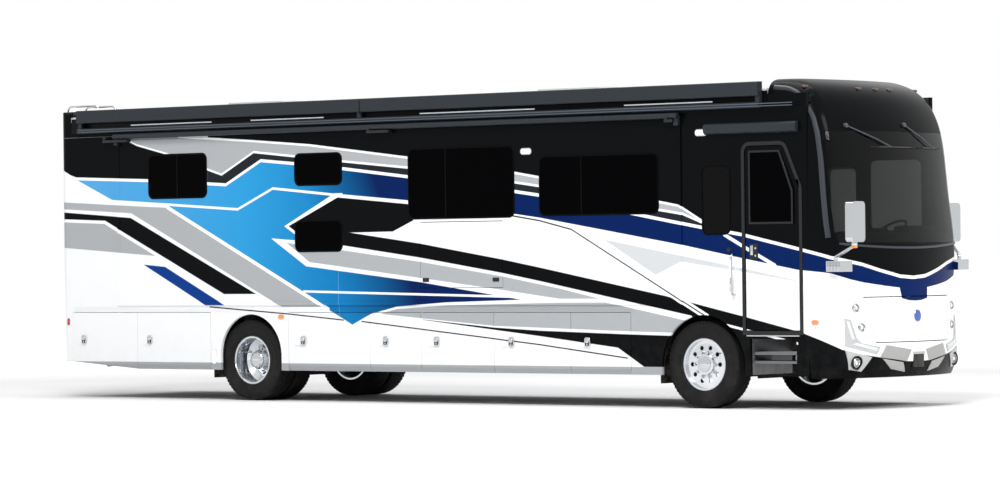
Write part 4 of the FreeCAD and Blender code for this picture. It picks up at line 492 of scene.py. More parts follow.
class Bench:
    """Places shader nodes in one tree and links them."""

    def __init__(self, tree: NodeTree) -> None:
        """Keep the tree that is worked on."""
        self.tree = tree
        self.column = 0

    def add(self, kind: str, **settings: object) -> Node:
        """Add a node of a kind and set its properties.

        Args:
            kind: The node's type.
            settings: Its properties.

        Returns:
            The node.
        """
        node = self.tree.nodes.new(kind)
        for key, amount in settings.items():
            setattr(node, key, amount)
        self.column += 1
        node.location = (self.column % 40 * 180, -(self.column // 40) * 260)
        return node

    def feed(self, socket: NodeSocket, source: object) -> None:
        """Link a source to a socket, or set the socket where the source is a value."""
        if isinstance(source, NodeSocket):
            self.tree.links.new(source, socket)
        else:
            socket.default_value = source

    def sum_of(self, operation: str, *sources: object, clamp: bool = False) -> NodeSocket:
        """Add a Math node.

        Args:
            operation: Its operation.
            sources: Sockets or values for its inputs.
            clamp: Whether its result is kept between 0 and 1.

        Returns:
            Its output.
        """
        node = self.add("ShaderNodeMath", operation=operation, use_clamp=clamp)
        for socket, source in zip(node.inputs, sources):
            self.feed(socket, source)
        return node.outputs[0]

    def plus(self, *sources: object, clamp: bool = False) -> NodeSocket:
        """Add two values."""
        return self.sum_of("ADD", *sources, clamp=clamp)

    def minus(self, *sources: object) -> NodeSocket:
        """Take the second value from the first."""
        return self.sum_of("SUBTRACT", *sources)

    def times(self, *sources: object, clamp: bool = False) -> NodeSocket:
        """Multiply two values."""
        return self.sum_of("MULTIPLY", *sources, clamp=clamp)

    def ramp(self, source: object, low: float, high: float, start: float = 0.0, end: float = 1.0) -> NodeSocket:
        """Map a value from one range to another, held at both ends.

        Args:
            source: The value.
            low: Where the first range starts.
            high: Where it ends.
            start: The result at its start.
            end: The result at its end.

        Returns:
            The mapped value.
        """
        node = self.add("ShaderNodeMapRange", clamp=True)
        for socket, amount in zip(node.inputs, (source, low, high, start, end)):
            self.feed(socket, amount)
        return node.outputs[0]

    def blend(self, factor: object, first: object, second: object) -> NodeSocket:
        """Mix two colours.

        Args:
            factor: How much of the second shows.
            first: The first colour.
            second: The second colour.

        Returns:
            The mixed colour.
        """
        node = self.add("ShaderNodeMix", data_type="RGBA", clamp_factor=True)
        self.feed(node.inputs[0], factor)
        self.feed(node.inputs[6], first)
        self.feed(node.inputs[7], second)
        return node.outputs[2]

    def noise(self, vector: object, scale: float, detail: float = 2.0, roughness: float = 0.5) -> NodeSocket:
        """Add a noise pattern and return its value."""
        node = self.add("ShaderNodeTexNoise")
        self.feed(node.inputs["Vector"], vector)
        node.inputs["Scale"].default_value = scale
        node.inputs["Detail"].default_value = detail
        node.inputs["Roughness"].default_value = roughness
        return node.outputs["Fac"]

    def call(self, group: NodeTree, **inputs: object) -> Node:
        """Place a node group and feed its inputs by name, spaces written as underscores."""
        node = self.add("ShaderNodeGroup", node_tree=group)
        for key, source in inputs.items():
            self.feed(node.inputs[key.replace("_", " ")], source)
        return node


def new_group(name: str, inputs: dict[str, str], outputs: dict[str, str]) -> tuple[NodeTree, Bench, dict, dict]:
    """Start a shader node group with named sockets.

    Args:
        name: The group's name.
        inputs: Socket kinds by name.
        outputs: Socket kinds by name.

    Returns:
        The group, its bench, its inputs' sockets and its outputs' sockets.
    """
    group = bpy.data.node_groups.new(name, "ShaderNodeTree")
    for title, kind in inputs.items():
        group.interface.new_socket(title, in_out="INPUT", socket_type=kind)
    for title, kind in outputs.items():
        group.interface.new_socket(title, in_out="OUTPUT", socket_type=kind)
    bench = Bench(group)
    entry = bench.add("NodeGroupInput")
    leave = bench.add("NodeGroupOutput")
    return (group, bench, {title: entry.outputs[title] for title in inputs},
            {title: leave.inputs[title] for title in outputs})


FLOAT, COLOUR, VECTOR = "NodeSocketFloat", "NodeSocketColor", "NodeSocketVector"


def started(name: str) -> tuple[Material, Bench, dict, Node]:
    """Start a material.

    Args:
        name: Its name.

    Returns:
        The material, its bench, its shader's inputs and its coordinates.
    """
    material = bpy.data.materials.new(name)
    material.use_nodes = True
    bench = Bench(material.node_tree)
    return material, bench, material.node_tree.nodes["Principled BSDF"].inputs, bench.add("ShaderNodeTexCoord")


def build_patina() -> NodeTree:
    """Make the group that varies a colour, its gloss and its surface, with road dust low down.

    Returns:
        The group. Its inputs are Vector, Colour, Rough, Grain, Mottle and Dust.
    """
    group, bench, given, out = new_group(
        "Patina", {"Vector": VECTOR, "Colour": COLOUR, "Rough": FLOAT, "Grain": FLOAT, "Mottle": FLOAT, "Dust": FLOAT},
        {"Colour": COLOUR, "Rough": FLOAT, "Height": FLOAT})
    fine = bench.add("ShaderNodeTexNoise")
    bench.feed(fine.inputs["Vector"], given["Vector"])
    bench.feed(fine.inputs["Scale"], given["Grain"])
    fine.inputs["Detail"].default_value = 3.0
    broad = bench.noise(given["Vector"], 2.3, 4.0, 0.6)
    shade = bench.times(bench.minus(broad, 0.5), given["Mottle"])
    darker = bench.plus(1.0, shade)
    scaled = bench.add("ShaderNodeVectorMath", operation="SCALE")
    bench.feed(scaled.inputs[0], given["Colour"])
    bench.feed(scaled.inputs["Scale"], darker)
    split = bench.add("ShaderNodeSeparateXYZ")
    bench.feed(split.inputs[0], given["Vector"])
    low = bench.ramp(split.outputs[2], 1.1, 0.25)
    streaks = bench.ramp(bench.noise(given["Vector"], 7.0, 6.0, 0.65), 0.42, 0.68)
    dust = bench.times(bench.times(low, streaks), given["Dust"], clamp=True)
    coloured = bench.blend(dust, scaled.outputs[0], hue("8f8678"))
    bench.feed(out["Colour"], coloured)
    rough = bench.plus(given["Rough"], bench.times(shade, 0.35))
    bench.feed(out["Rough"], bench.plus(rough, bench.times(dust, 0.5), clamp=True))
    bench.feed(out["Height"], fine.outputs["Fac"])
    return group


PATINA = build_patina()


@dataclass(frozen=True)
class Finish:
    """A material: its colour, gloss, grain and what its shader needs beyond them."""

    name: str
    colour: str
    rough: float = 0.4
    metallic: float = 0.0
    grain: float = 300.0
    depth: float = 0.05
    mottle: float = 0.1
    dust: float = 0.0
    coat: float = 0.0
    specular: float = 0.5
    glow: float = 0.0
    clear: float = 0.0

    def build(self) -> Material:
        """Make the material's nodes.

        Returns:
            The material.
        """
        material, bench, shader, coordinates = started(self.name)
        place = coordinates.outputs["Object"]
        patina = bench.call(PATINA, Vector=place, Colour=hue(self.colour), Rough=self.rough, Grain=self.grain,
                            Mottle=self.mottle, Dust=self.dust)
        bench.feed(shader["Base Color"], patina.outputs["Colour"])
        bench.feed(shader["Roughness"], patina.outputs["Rough"])
        bump = bench.add("ShaderNodeBump")
        bump.inputs["Strength"].default_value = min(1.0, self.depth)
        bump.inputs["Distance"].default_value = 0.002
        bench.feed(bump.inputs["Height"], patina.outputs["Height"])
        bench.feed(shader["Normal"], bump.outputs[0])
        shader["Metallic"].default_value = self.metallic
        shader["Coat Weight"].default_value = self.coat
        shader["Coat Roughness"].default_value = 0.03
        shader["Specular IOR Level"].default_value = self.specular
        shader["Transmission Weight"].default_value = self.clear
        if self.glow:
            shader["Emission Color"].default_value = hue(self.colour)
            shader["Emission Strength"].default_value = self.glow
        return material


class Finishes:
    """Every plain finish of the coach, built once each."""

    CATALOGUE = (
        Finish("black_trim", "0d0f11", rough=0.28, grain=900, depth=0.04, mottle=0.15, dust=0.1, specular=0.35),
        Finish("satin_black", "121416", rough=0.5, grain=700, depth=0.1, mottle=0.2, dust=0.3, specular=0.35),
        Finish("frame_black", "0b0b0c", rough=0.62, grain=260, depth=0.25, mottle=0.4, dust=0.7, specular=0.3),
        Finish("gasket_rubber", "08090a", rough=0.7, grain=800, depth=0.1, mottle=0.1, specular=0.3),
        Finish("tyre_rubber", "0c0c0e", rough=0.7, grain=420, depth=0.18, mottle=0.15, dust=0.06, specular=0.22),
        Finish("flap_rubber", "101011", rough=0.75, grain=300, depth=0.2, mottle=0.3, dust=0.6, specular=0.3),
        Finish("chrome", "c3c6c9", rough=0.06, metallic=1.0, grain=60, depth=0.01, mottle=0.05),
        Finish("wheel_alloy", "d3d6da", rough=0.16, metallic=1.0, grain=180, depth=0.03, mottle=0.12, dust=0.12),
        Finish("dark_alloy", "8d9094", rough=0.3, metallic=1.0, grain=180, depth=0.05, mottle=0.2, dust=0.3),
        Finish("brushed_metal", "b9bcc0", rough=0.32, metallic=1.0, grain=500, depth=0.08, mottle=0.12),
        Finish("slate_awning", "20262c", rough=0.4, metallic=0.0, specular=0.25, grain=300, depth=0.05, mottle=0.12),
        Finish("roof_white", "b4b6b8", rough=0.55, grain=160, depth=0.2, mottle=0.12, specular=0.4),
        Finish("shell_white", "c9cbcc", rough=0.35, grain=240, depth=0.08, mottle=0.06),
        Finish("tray_metal", "9b9ea2", rough=0.45, metallic=0.8, grain=140, depth=0.15, mottle=0.3, dust=0.5),
        Finish("tread_plate", "6f7276", rough=0.42, metallic=0.85, grain=90, depth=0.5, mottle=0.3, dust=0.3),
        Finish("floor_wood", "6b4a31", rough=0.35, grain=40, depth=0.2, mottle=0.5),
        Finish("dash_grain", "24211f", rough=0.6, grain=900, depth=0.5, mottle=0.15),
        Finish("cab_leather", "8a7a68", rough=0.5, grain=420, depth=0.55, mottle=0.18),
        Finish("engine_paint", "26282b", rough=0.55, metallic=0.3, grain=120, depth=0.4, mottle=0.4, dust=0.4),
        Finish("lens_clear", "eef1f4", rough=0.05, grain=120, depth=0.02, mottle=0.02, clear=0.9, specular=0.6),
        Finish("lens_amber", "f0820f", rough=0.14, grain=500, depth=0.25, mottle=0.08, coat=0.8, glow=0.25),
        Finish("lens_red", "b01010", rough=0.14, grain=500, depth=0.25, mottle=0.08, coat=0.8, glow=0.15),
        Finish("lens_white", "f4f2ea", rough=0.2, grain=500, depth=0.2, mottle=0.04, coat=0.6, glow=0.5),
        Finish("mirror_glass", "c9ced2", rough=0.02, metallic=1.0, grain=40, depth=0.0, mottle=0.02),
        Finish("grey_accent", "b7baba", rough=0.24, metallic=0.25, grain=500, depth=0.03, mottle=0.05, coat=0.7),
        Finish("light_strip", "f7fbff", rough=0.3, grain=300, depth=0.02, mottle=0.02, glow=1.2),
        Finish("privacy_glass", "010102", rough=0.06, grain=12, depth=0.01, mottle=0.05, specular=0.02),
        Finish("window_trim", "020203", rough=0.3, grain=900, depth=0.04, mottle=0.1, specular=0.05),
        Finish("clearance_amber", "4a2c12", rough=0.2, grain=500, depth=0.2, mottle=0.08, coat=0.4),
        Finish("pale_accent", "d2d5d6", rough=0.25, grain=500, depth=0.03, mottle=0.05, coat=0.4),
        Finish("skid_grey", "a3a3a1", rough=0.35, grain=300, depth=0.05, mottle=0.08, specular=0.3),
        Finish("bezel_silver", "b4b5b4", rough=0.3, metallic=0.2, grain=400, depth=0.04, mottle=0.06),
        # A dark grey lighter than the black paint: a painted highlight along the cap's corner creases and the ledge's
        # lip.
        Finish("pillar_grey", "272c33", rough=0.33, grain=400, depth=0.04, mottle=0.08, specular=0.4),
        Finish("wiper_black", "3a3f45", rough=0.4, grain=500, depth=0.05, mottle=0.1, specular=0.4),
        Finish("badge_blue", "1d4fae", rough=0.25, grain=300, depth=0.03, mottle=0.05, coat=0.5),
        Finish("light_gap", "dfe6ec", rough=0.25, grain=300, depth=0.02, mottle=0.05, glow=0.35),
        # A lighter grey for strips on the awning's roller tube: a painted highlight along the rounded tube.
        Finish("ridge_grey", "4a525b", rough=0.3, metallic=0.3, grain=400, depth=0.04, mottle=0.08),
        Finish("plate_blank", "d8d9d6", rough=0.35, grain=300, depth=0.08, mottle=0.05),
    )

    def __init__(self) -> None:
        """Start with nothing built."""
        self.built: dict[str, Material] = {}

    def __getitem__(self, name: str) -> Material:
        """Return a finish by name, built on first use."""
        if name not in self.built:
            self.built[name] = next(finish for finish in self.CATALOGUE if finish.name == name).build()
        return self.built[name]


@dataclass(frozen=True)
class TintedGlass:
    """Tinted window glass that shows what is behind it, or only beyond a plane where one is given."""

    name: str
    tint: str
    clear: float
    from_left: bool = False

    def build(self) -> Material:
        """Make the glass: a shader that is mostly see-through, with faint smears in its gloss.

        Returns:
            The material.
        """
        material, bench, shader, coordinates = started(self.name)
        place = coordinates.outputs["Object"]
        smear = bench.ramp(bench.noise(place, 3.0, 5.0), 0.4, 0.75, 0.01, 0.05)
        bench.feed(shader["Roughness"], smear)
        shade = bench.ramp(bench.noise(place, 0.8, 2.0), 0.3, 0.7)
        tint = bench.blend(shade, hue(self.tint), tuple(share * 0.94 for share in hue(self.tint)[:3]) + (1.0,))
        if self.from_left:
            split = bench.add("ShaderNodeSeparateXYZ")
            bench.feed(split.inputs[0], place)
            cab = bench.times(bench.ramp(split.outputs[1], 0.0, 0.1),
                               bench.ramp(split.outputs[0], ahead(-0.4), ahead(-0.3)))
            tint = bench.blend(cab, hue("010102"), tint)
        bench.feed(shader["Base Color"], tint)
        shader["Transmission Weight"].default_value = self.clear
        shader["IOR"].default_value = 1.2
        shader["Specular IOR Level"].default_value = 0.35
        return material


Line = tuple[Flat, ...]


@dataclass(frozen=True)
class Stripe:
    """One painted area of the side, between two lines, over a stretch of the coach."""

    colour: str
    low: Line | float
    high: Line | float
    start: float
    end: float


@dataclass(frozen=True)
class PinLine:
    """A thin painted line of even width."""

    colour: str
    path: Line
    width: float


@dataclass
class Livery:
    """The paint scheme, in metres ahead of the front axle and above the ground, painted with shader nodes.

    Every area is a mask between broken lines. On the nose the lines run on across the front: a place
    there counts as far ahead as it lies inboard of the side.
    """

    white: str = "f3f4f5"
    blue: str = "3a9ddb"
    interior: str = "3a3632"
    upper_line: Line = ((-10.28, 2.93), (-10.13, 2.86), (-10.03, 2.83), (-8.73, 2.78), (-7.68, 2.72), (-7.37, 2.70),
                        (-6.77, 2.99), (-6.21, 2.94), (-5.41, 2.86), (-4.37, 2.74), (-2.70, 2.53), (-2.33, 2.48),
                        (-0.88, 2.23), (0.03, 2.07), (0.60, 1.98), (1.38, 1.81), (1.82, 1.71), (2.37, 1.63),
                        (2.70, 1.56), (3.08, 1.49), (3.60, 1.46))
    charcoal_line: Line = ((-7.68, 2.90), (-7.44, 2.83), (-6.89, 3.10), (-6.20, 3.03), (-5.41, 2.95), (-4.37, 2.85),
                           (-2.71, 2.64), (-2.34, 2.59), (-0.57, 2.28), (-0.24, 2.23), (0.03, 2.13), (0.30, 2.03))
    grey_line: Line = ((-8.20, 3.322), (-7.68, 3.29), (-6.96, 3.24), (-5.95, 3.16), (-4.37, 2.97),
                       (-2.70, 2.75), (-2.33, 2.69), (-0.56, 2.37), (-0.28, 2.32), (0.03, 2.15), (0.30, 2.03))
    blue_low: Line = ((-10.30, 2.92), (-10.02, 2.80), (-9.38, 2.53), (-8.40, 2.47), (-7.17, 2.39), (-6.57, 2.64),
                      (-5.53, 2.54), (-4.38, 2.44), (-2.71, 2.25), (-2.33, 2.20), (-0.26, 1.86), (0.59, 1.70),
                      (1.37, 1.56), (1.82, 1.52), (2.15, 1.45), (2.40, 1.41), (2.78, 1.37), (3.13, 1.34), (3.60, 1.31))
    line_width: float = 0.034
    pin_width: float = 0.016
    edge: float = 0.003
    silver_top: float = 0.47
    nose_from: float = 1.45
    front_from: Flat = (1.48, 1.50)
    front_facing: Flat = (-0.3, -0.2)
    skin_from: Flat = (1.236, 1.240)
    tail_from: Flat = (-10.19, -10.21)
    top_from: Flat = (3.40, 3.42)
    top_facing: Flat = (0.1, 0.2)
    silver_from: Flat = (-0.4, -0.45)
    pale_blue: Flat = (-10.3, -7.0)
    mid_blue: Flat = (-7.0, -5.6)
    deep_blue: Flat = (-5.5, -4.3)
    lean_from: float = 1.4
    lean: float = 0.45
    bench: Bench = field(init=False)
    run: NodeSocket = field(init=False)
    height: NodeSocket = field(init=False)
    known: dict[Line, NodeSocket] = field(default_factory=dict, init=False)

    def level(self, path: Line) -> NodeSocket:
        """Return the height of a broken line at each place along the coach.

        Args:
            path: Its corners.

        Returns:
            The height there, held beyond both ends.
        """
        if path in self.known:
            return self.known[path]
        total: object = path[0][1]
        for (x_one, z_one), (x_two, z_two) in zip(path, path[1:]):
            rise = self.bench.ramp(self.run, x_one, x_two, 0.0, z_two - z_one)
            total = self.bench.plus(total, rise)
        self.known[path] = total
        return total

    def above(self, limit: Line | float) -> NodeSocket:
        """Return a soft mask of the places above a line or a level."""
        edge = self.edge
        place = self.level(limit) if isinstance(limit, tuple) else limit
        return self.bench.ramp(self.bench.minus(self.height, place), -edge, edge)

    def between(self, start: float, end: float) -> NodeSocket:
        """Return a soft mask of a stretch of the coach."""
        edge = self.edge
        ahead_of = self.bench.ramp(self.run, start - edge, start + edge)
        behind = self.bench.ramp(self.run, end - edge, end + edge, 1.0, 0.0)
        return self.bench.times(ahead_of, behind)

    def area(self, stripe: Stripe) -> NodeSocket:
        """Return the mask of a stripe."""
        low = self.above(stripe.low)
        high = self.bench.minus(1.0, self.above(stripe.high))
        return self.bench.times(self.bench.times(low, high), self.between(stripe.start, stripe.end))

    def thread(self, line: PinLine) -> NodeSocket:
        """Return the mask of a thin line."""
        away = self.bench.sum_of("ABSOLUTE", self.bench.minus(self.height, self.level(line.path)))
        half = line.width / 2
        inside = self.bench.ramp(away, half - self.edge / 2, half + self.edge / 2, 1.0, 0.0)
        return self.bench.times(inside, self.between(line.path[0][0], line.path[-1][0]))

    def blues(self) -> NodeSocket:
        """Return the blue that deepens along the coach, sooner high up than low down."""
        lighter = self.bench.blend(self.bench.ramp(self.run, *self.pale_blue), hue("5ba6dd"), hue("2e97d2"))
        middle = self.bench.blend(self.bench.ramp(self.run, *self.mid_blue), lighter, hue("1579b6"))
        lean = self.bench.times(self.bench.minus(self.height, self.lean_from), self.lean)
        return self.bench.blend(self.bench.ramp(self.bench.plus(self.run, lean), *self.deep_blue), middle,
                                hue("041f55"))

    def paint(self, colour: NodeSocket, mark: Stripe | PinLine, over: object = None) -> NodeSocket:
        """Lay one stripe or line over what is painted so far.

        Args:
            colour: The paint so far.
            mark: What to lay over it.
            over: A colour that takes the place of the mark's own.

        Returns:
            The paint with it.
        """
        mask = self.area(mark) if isinstance(mark, Stripe) else self.thread(mark)
        return self.bench.blend(mask, colour, hue(mark.colour) if over is None else over)

    def marks(self) -> list[Stripe | PinLine]:
        """Return the stripes and lines in the order in which they were sprayed."""
        black, grey, white, line_grey, blue = "07090b", "a9acaf", "f6f8f9", "2b3036", self.blue
        upper = self.upper_line
        body_low = ((-8.40, 2.44), (-5.29, 0.95), (-4.99, 1.08), (-4.57, 1.17), (-3.78, 1.22), (-2.62, 1.25))
        ghost_low = ((-6.60, 2.015), (-6.03, 1.670), (-4.18, 1.465), (-2.62, 1.25))
        return [
            Stripe(black, upper, 4.2, -7.68, 9.0),
            Stripe(black, upper, ((-10.28, 3.36), (-9.19, 3.36), (-8.92, 3.24), (-8.37, 3.11), (-7.68, 2.90)), -10.34,
                   -7.68),
            Stripe(black, 3.36, 4.2, -10.34, -7.68),
            Stripe(grey, ((-9.19, 3.35), (-8.92, 3.24), (-8.37, 3.11), *self.charcoal_line),
                   ((-9.30, 3.36), (-8.37, 3.33), (-7.82, 3.31), *self.grey_line[1:]), -9.28, 0.30),
            Stripe("22262a", upper, self.charcoal_line, -7.68, 0.30),
            Stripe(blue, self.blue_low, upper, -10.34, 9.0),
            Stripe(blue, body_low, self.blue_low, -8.40, -5.50),
            Stripe(blue, body_low, ghost_low, -5.50, -2.62),
            Stripe(white, ghost_low, ((-6.60, 2.02), (-5.42, 1.93)), -6.60, -5.42),
            Stripe(white, ((-6.38, 2.165), (-6.15, 2.03), (-5.42, 2.03)), ((-6.38, 2.17), (-5.55, 2.56)), -6.38, -5.42),
            Stripe(grey, ((-10.28, 2.44), (-9.03, 2.37), (-6.45, 1.17)),
                   ((-10.28, 2.53), (-9.37, 2.48), (-8.42, 2.43), (-5.64, 1.12)), -10.34, -5.66),
            Stripe(black, ((-10.28, 2.31), (-9.51, 2.28), (-7.42, 1.33)),
                   ((-10.28, 2.40), (-9.04, 2.31), (-6.85, 1.32)), -10.34, -6.86),
            Stripe(grey, ((-10.28, 1.94), (-8.61, 1.82)), ((-10.28, 2.27), (-9.53, 2.24), (-8.61, 1.82)), -10.34,
                   -8.61),
            Stripe("0a3a86", ((-8.81, 1.705), (-7.74, 1.19)), ((-8.81, 1.71), (-8.44, 1.68), (-7.41, 1.19)), -8.81,
                   -7.42),
            Stripe(black, ((-6.31, 2.165), (-6.15, 2.07), (-4.61, 2.08), (-4.28, 2.21)),
                   ((-6.31, 2.17), (-5.50, 2.51), (-4.37, 2.41), (-4.28, 2.36)), -6.31, -4.28),
            Stripe(black, ((-5.42, 1.92), (-4.18, 1.76), (-2.92, 1.57), (-2.34, 1.47), (-0.12, 1.06), (-0.10, 0.1)),
                   ((-5.41, 2.09), (-4.18, 1.93), (-2.91, 1.73), (-2.34, 1.63), (-0.49, 1.29), (-0.21, 1.23),
                    (0.63, 1.05), (1.39, 0.88), (2.00, 0.68), (2.30, 0.625), (2.67, 0.585), (3.20, 0.53),
                    (3.60, 0.52)), -5.42, 9.0),
            Stripe(grey, ((-6.34, 1.955), (-5.97, 1.72), (-4.18, 1.515), (-3.10, 1.39), (-2.04, 1.26)),
                   ((-6.34, 1.96), (-5.42, 1.86), (-4.18, 1.71), (-2.92, 1.53), (-2.04, 1.38), (-1.45, 1.26)), -6.34,
                   -1.45),
            Stripe(grey, ((-4.81, 1.08), (-4.19, 1.03), (-3.04, 0.94), (-2.35, 0.92), (-1.00, 0.88), (-0.12, 0.86)),
                   ((-4.81, 1.09), (-4.57, 1.14), (-3.78, 1.185), (-2.04, 1.215), (-1.35, 1.215), (-0.12, 0.99)),
                   -4.81, -0.12),
            Stripe(black, ((-4.16, 1.01), (-2.35, 0.82), (-1.19, 0.69), (-0.81, 0.47), (-0.53, 0.47)),
                   ((-4.16, 1.015), (-3.04, 0.92), (-2.35, 0.885), (-1.00, 0.845), (-0.12, 0.825)), -4.16, -0.12),
            Stripe("c9cccf", ((-1.36, 1.94), (-0.62, 1.53), (-0.26, 1.68), (0.60, 1.56), (1.33, 1.45)),
                   ((-1.36, 1.945), (-0.26, 1.75), (0.60, 1.60), (1.33, 1.46)), -1.36, 1.33),
            PinLine(white, self.grey_line, self.line_width * 0.8),
            PinLine(white, ((-9.10, 3.315), (-8.92, 3.24), (-8.37, 3.11), (-7.68, 2.90)), self.line_width * 0.7),
            PinLine(white, self.charcoal_line, self.line_width * 0.8),
            PinLine(white, upper, self.line_width * 1.1),
            PinLine(white, self.blue_low, self.line_width * 0.9),
            Stripe(blue, ((3.06, 1.36), (3.10, 1.24), (3.25, 1.215), (3.40, 1.21)), ((3.06, 1.37), (3.60, 1.35)),
                   3.06, 9.0),
            PinLine(white, ((-8.40, 2.44), (-5.66, 1.13)), self.line_width * 1.5),
            PinLine(white, ((-6.08, 1.36), (-2.51, 1.28)), self.line_width * 0.8),
            PinLine(white, ((0.30, 0.97), (1.36, 0.75)), self.line_width * 0.8),
            PinLine(line_grey, ((-7.68, 1.17), (-6.33, 1.08), (-5.48, 1.01), (-5.43, 1.005)), self.pin_width),
            PinLine(line_grey, ((-5.14, 0.99), (-2.35, 0.72), (-1.05, 0.57)), self.pin_width),
            PinLine(white, ((-0.95, 1.60), (0.12, 1.035)), self.line_width * 2.4),
            PinLine(line_grey, ((-2.85, 2.26), (-2.33, 2.18), (-1.85, 2.07), (0.07, 1.06)), self.pin_width * 1.1),
            PinLine(white, ((0.34, 1.99), (0.61, 1.85), (1.07, 1.62)), self.line_width * 1.3),
        ]

    def build(self) -> NodeTree:
        """Make the group.

        Returns:
            The group: it takes the Object coordinates and puts out the paint and a mask of the body's outside.
        """
        group, self.bench, given, out = new_group("CoachLivery", {"Vector": VECTOR, "Normal": VECTOR},
                                                 {"Colour": COLOUR, "Painted": FLOAT})
        bench = self.bench
        split = bench.add("ShaderNodeSeparateXYZ")
        bench.feed(split.inputs[0], given["Vector"])
        across = bench.sum_of("ABSOLUTE", split.outputs[1])
        along = bench.minus(split.outputs[0], FRONT_AXLE)
        inboard = bench.minus(SKIN, across)
        nose = bench.sum_of("GREATER_THAN", along, self.nose_from)
        self.run = bench.plus(along, bench.times(inboard, nose))
        self.height = split.outputs[2]
        colour: object = hue(self.white)
        blues = self.blues()
        for mark in self.marks():
            colour = self.paint(colour, mark, blues if mark.colour == self.blue else None)
        silver = bench.minus(1.0, self.above(self.silver_top))
        colour = bench.blend(bench.times(silver, bench.ramp(along, *self.silver_from)), colour, hue("a4a7aa"))
        facing = bench.add("ShaderNodeSeparateXYZ")
        bench.feed(facing.inputs[0], given["Normal"])
        outside = bench.ramp(across, *self.skin_from)
        front = bench.times(bench.ramp(along, *self.front_from), bench.ramp(facing.outputs[0], *self.front_facing))
        ends = bench.sum_of("MAXIMUM", front, bench.ramp(along, *self.tail_from))
        top = bench.times(bench.ramp(self.height, *self.top_from), bench.ramp(facing.outputs[2], *self.top_facing))
        painted = bench.sum_of("MAXIMUM", bench.sum_of("MAXIMUM", outside, ends), top)
        bench.feed(out["Colour"], bench.blend(painted, hue(self.interior), colour))
        bench.feed(out["Painted"], painted)
        return group


def build_coach_paint() -> Material:
    """Make the coach's painted skin: stripes under a thin clear coat, with a little road dust low down.

    Returns:
        The material.
    """
    material, bench, shader, coordinates = started("coach_paint")
    place = coordinates.outputs["Object"]
    livery = bench.call(Livery().build(), Vector=place, Normal=coordinates.outputs["Normal"])
    patina = bench.call(PATINA, Vector=place, Colour=livery.outputs["Colour"], Rough=0.2, Grain=55.0, Mottle=0.03,
                        Dust=0.04)
    bench.feed(shader["Base Color"], patina.outputs["Colour"])
    bench.feed(shader["Roughness"], patina.outputs["Rough"])
    peel = bench.add("ShaderNodeBump")
    peel.inputs["Strength"].default_value = 0.06
    peel.inputs["Distance"].default_value = 0.0006
    bench.feed(peel.inputs["Height"], patina.outputs["Height"])
    bench.feed(shader["Normal"], peel.outputs[0])
    shader["Coat Weight"].default_value = 0.02
    shader["Coat Roughness"].default_value = 0.035
    shader["Specular IOR Level"].default_value = 0.035
    return material


@dataclass(frozen=True)
class CameraPlan:
    """Where the photo was taken from: a point, three angles in degrees and the lens."""

    place: Point = (32.2325, -39.238, 1.763)
    yaw: float = 129.372
    pitch: float = 0.090
    roll: float = -0.646
    lens: float = 149.03


@dataclass(frozen=True)
class Lamp:
    """A soft studio lamp: its place, its target, its size and its power."""

    name: str
    place: Point
    target: Point
    size: float
    power: float


